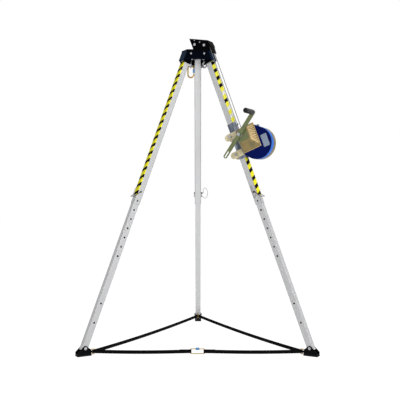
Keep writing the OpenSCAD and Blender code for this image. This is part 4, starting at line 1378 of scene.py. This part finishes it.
    def build_label(self) -> None:
        """Sets a bare label plate and its standoff stud on the gear cover."""
        (x0, y0), (x1, y1) = self.label_low, self.label_high
        level = self.cover_front

        def plate(work: bmesh.types.BMesh) -> None:
            """Adds the plate with cut corners.

            Args:
                work: Mesh that takes the plate.
            """
            cut = 0.004
            prism(work, [(x0 + cut, y0), (x1 - cut, y0), (x1, y0 + cut), (x1, y1 - cut), (x1 - cut, y1),
                         (x0 + cut, y1), (x0, y1 - cut), (x0, y0 + cut)], level, level + 0.001)

        obj = bevelled("label_plate", plate, 0.0003, self.frame())
        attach(self.dresser.piece(obj, LABEL_METAL), "upper_right")
        for i, (x, y) in enumerate([(x0, y0), (x1, y0), (x1, y1), (x0, y1)]):
            cx = x + math.copysign(0.006, (x0 + x1) / 2 - x)
            cy = y + math.copysign(0.006, (y0 + y1) / 2 - y)
            self.stud(f"label_rivet_{i}", (cx, cy), 0.0022, level + 0.001, level + 0.0022)
        self.stud("cover_stud", (0.048, 0.119), 0.0055, 0.004, 0.03)

    def build_ridges(self) -> None:
        """Adds the brake cover's pressed ridges, its rim and its olive face plate, the ridges and rim in a lighter gold
        as painted light.
        """
        place = self.frame()
        base, top = self.cover_front, self.cover_front + self.brake_depth
        (rx0, ry0), (rx1, ry1) = self.rim_low, self.rim_high
        (fx0, fy0), (fx1, fy1) = self.face_low, self.face_high
        foot = Vector((rx1, ry0, base)), Vector((rx1, ry1, base))
        brow = Vector((fx1, fy0, top)), Vector((fx1, fy1, top))
        for k in range(self.ridges):
            share = 0.08 + 0.84 * k / (self.ridges - 1)
            low, high = foot[0].lerp(foot[1], share), brow[0].lerp(brow[1], share)
            line = [place @ low.lerp(high, 0.1 + 0.8 * step / 8) for step in range(9)]
            obj = tube(f"brake_ridge_{k}", line, self.ridge_width, 12)
            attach(self.dresser.piece(obj, GOLD_RIDGE_LIT), "upper_right")

        def face(work: bmesh.types.BMesh) -> None:
            """Adds the face plate with cut corners.

            Args:
                work: Mesh that takes the plate.
            """
            gap, cut = 0.004, 0.006
            x0, y0, x1, y1 = fx0 + gap, fy0 + gap, fx1 - gap, fy1 - gap
            prism(work, [(x0 + cut, y0), (x1 - cut, y0), (x1, y0 + cut), (x1, y1 - cut), (x1 - cut, y1),
                         (x0 + cut, y1), (x0, y1 - cut), (x0, y0 + cut)], top, top + 0.0004)

        obj = bevelled("brake_face", face, 0.0001, place)
        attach(self.dresser.piece(obj, OLIVE_PLATE), "upper_right")
        corners = [(rx0, ry0), (rx1, ry0), (rx1, ry1), (rx0, ry1), (rx0, ry0)]
        rim = []
        for (ax, ay), (bx, by) in zip(corners, corners[1:]):
            rim += [Vector((ax, ay, base + 0.002)).lerp(Vector((bx, by, base + 0.002)), k / 6) for k in range(6)]
        rim.append(rim[0].copy())
        obj = tube("brake_rim", [place @ p for p in rim], 0.005, 8)
        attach(self.dresser.piece(obj, GOLD_RIDGE_LIT), "upper_right")

    def stud(self, name: str, at: tuple[float, float], radius: float, low: float, high: float) -> None:
        """Adds a round-topped stud on the winch.

        Args:
            name: Name of the piece.
            at: Place in the winch frame.
            radius: Radius of the stud.
            low: Level of its foot.
            high: Level of its top.
        """

        def build(work: bmesh.types.BMesh) -> None:
            """Adds the stud's body.

            Args:
                work: Mesh that takes the body.
            """
            ring = [(at[0] + radius * math.cos(k * math.tau / 20), at[1] + radius * math.sin(k * math.tau / 20))
                    for k in range(20)]
            prism(work, ring, low, high)

        obj = bevelled(name, build, (high - low) * 0.35, self.frame())
        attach(self.dresser.piece(obj, ZINC), "upper_right")

    def build(self) -> None:
        """Builds and dresses the winch."""
        self.dress()
        self.build_rope()
        self.build_winding()
        self.build_ridges()
        self.build_label()


@dataclass
class Studio:
    """Pale floor, soft light and the camera at the photograph's viewing angle."""

    camera_distance: float = 5.0
    camera_height: float = 1.057
    camera_side: float = 0.017
    lens: float = 60.36
    floor_half: float = 30.0

    def world(self) -> None:
        """White surroundings for the camera and for gloss, and a plain level of light on the object."""
        world = bpy.data.worlds.new("studio")
        bpy.context.scene.world = world
        world.use_nodes = True
        world.node_tree.nodes.clear()
        sheet = NodeSheet(world.node_tree)
        light = sheet.add("ShaderNodeBackground")
        light.inputs["Color"].default_value = (1, 1, 1, 1)
        light.inputs["Strength"].default_value = 0.27
        seen = sheet.add("ShaderNodeBackground")
        seen.inputs["Color"].default_value = (1, 1, 1, 1)
        seen.inputs["Strength"].default_value = 1.0
        path = sheet.add("ShaderNodeLightPath")
        share = sheet.math("MAXIMUM", path.outputs["Is Camera Ray"], path.outputs["Is Glossy Ray"])
        share = sheet.math("MAXIMUM", share, path.outputs["Is Transmission Ray"])
        mix = sheet.add("ShaderNodeMixShader")
        sheet.join(share, mix.inputs[0])
        sheet.join(light.outputs[0], mix.inputs[1])
        sheet.join(seen.outputs[0], mix.inputs[2])
        sheet.join(mix.outputs[0], sheet.add("ShaderNodeOutputWorld").inputs["Surface"])

    def floor(self) -> None:
        """A pale floor that keeps a soft shadow."""
        h = self.floor_half
        obj = mesh_piece("floor", [Vector((-h, -h, 0)), Vector((h, -h, 0)), Vector((h, h, 0)), Vector((-h, h, 0))],
                         [[0, 1, 2, 3]])
        material = bpy.data.materials.new("pale_floor")
        material.use_nodes = True
        sheet = NodeSheet(material.node_tree)
        shader = material.node_tree.nodes["Principled BSDF"]
        shader.inputs["Base Color"].default_value = (0.92, 0.92, 0.92, 1)
        shader.inputs["Roughness"].default_value = 0.9
        shader.inputs["Specular IOR Level"].default_value = 0.0
        glow = sheet.add("ShaderNodeEmission")
        glow.inputs["Color"].default_value = (1, 1, 1, 1)
        glow.inputs["Strength"].default_value = 1.31
        path = sheet.add("ShaderNodeLightPath")
        share = sheet.math("MAXIMUM", path.outputs["Is Camera Ray"], path.outputs["Is Glossy Ray"])
        share = sheet.math("MULTIPLY", sheet.math("MAXIMUM", share, path.outputs["Is Transmission Ray"]), 0.72)
        mix = sheet.add("ShaderNodeMixShader")
        sheet.join(share, mix.inputs[0])
        sheet.join(shader.outputs[0], mix.inputs[1])
        sheet.join(glow.outputs[0], mix.inputs[2])
        sheet.join(mix.outputs[0], material.node_tree.nodes["Material Output"].inputs["Surface"])
        obj.data.materials.append(material)

    def lamp(self, name: str, at: tuple[float, float, float], aim: tuple[float, float, float], size: float,
             power: float) -> None:
        """Adds a soft area lamp.

        Args:
            name: Name of the lamp.
            at: Its place.
            aim: The point it looks at.
            size: Side of the lamp.
            power: Its power in watts.
        """
        light = bpy.data.lights.new(name, "AREA")
        light.size = size
        light.energy = power
        obj = bpy.data.objects.new(name, light)
        obj.location = at
        obj.rotation_euler = (Vector(aim) - Vector(at)).to_track_quat("-Z", "Y").to_euler()
        bpy.context.scene.collection.objects.link(obj)

    def camera(self) -> None:
        """A level camera in front of the tripod."""
        data = bpy.data.cameras.new("photo_camera")
        data.sensor_width = 36.0
        data.lens = self.lens
        obj = bpy.data.objects.new("photo_camera", data)
        obj.location = (self.camera_side, STANCE.axis_shift - self.camera_distance, self.camera_height)
        obj.rotation_euler = (math.radians(90), 0, 0)
        bpy.context.scene.collection.objects.link(obj)
        bpy.context.scene.camera = obj

    def build(self) -> None:
        """Sets up the studio."""
        bpy.context.scene.view_settings.view_transform = "Standard"
        self.world()
        self.floor()
        self.lamp("key", (2.4, -6.0, 1.4), (0, 0, 1.1), 2.4, 200.0)
        self.lamp("side", (4.6, -1.6, 3.0), (0, 0, 1.2), 2.4, 50.0)
        self.lamp("fill", (-5.2, -1.2, 2.2), (0, 0, 1.2), 2.4, 50.0)
        self.lamp("top", (0.6, 0.4, 5.2), (0, 0, 1.2), 3.0, 40.0)
        self.camera()


def main() -> None:
    """Builds the sub-assemblies in order."""
    logging.basicConfig(level=logging.INFO, format="%(name)s: %(message)s")
    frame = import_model()
    dresser = Dresser(frame["nodes"])
    Head(dresser).dress()
    for leg in Leg:
        LegSet(dresser, leg).build()
    BaseStrap(dresser).build()
    Winch(dresser).build()
    Studio().build()


if __name__ == "__main__":
    main()
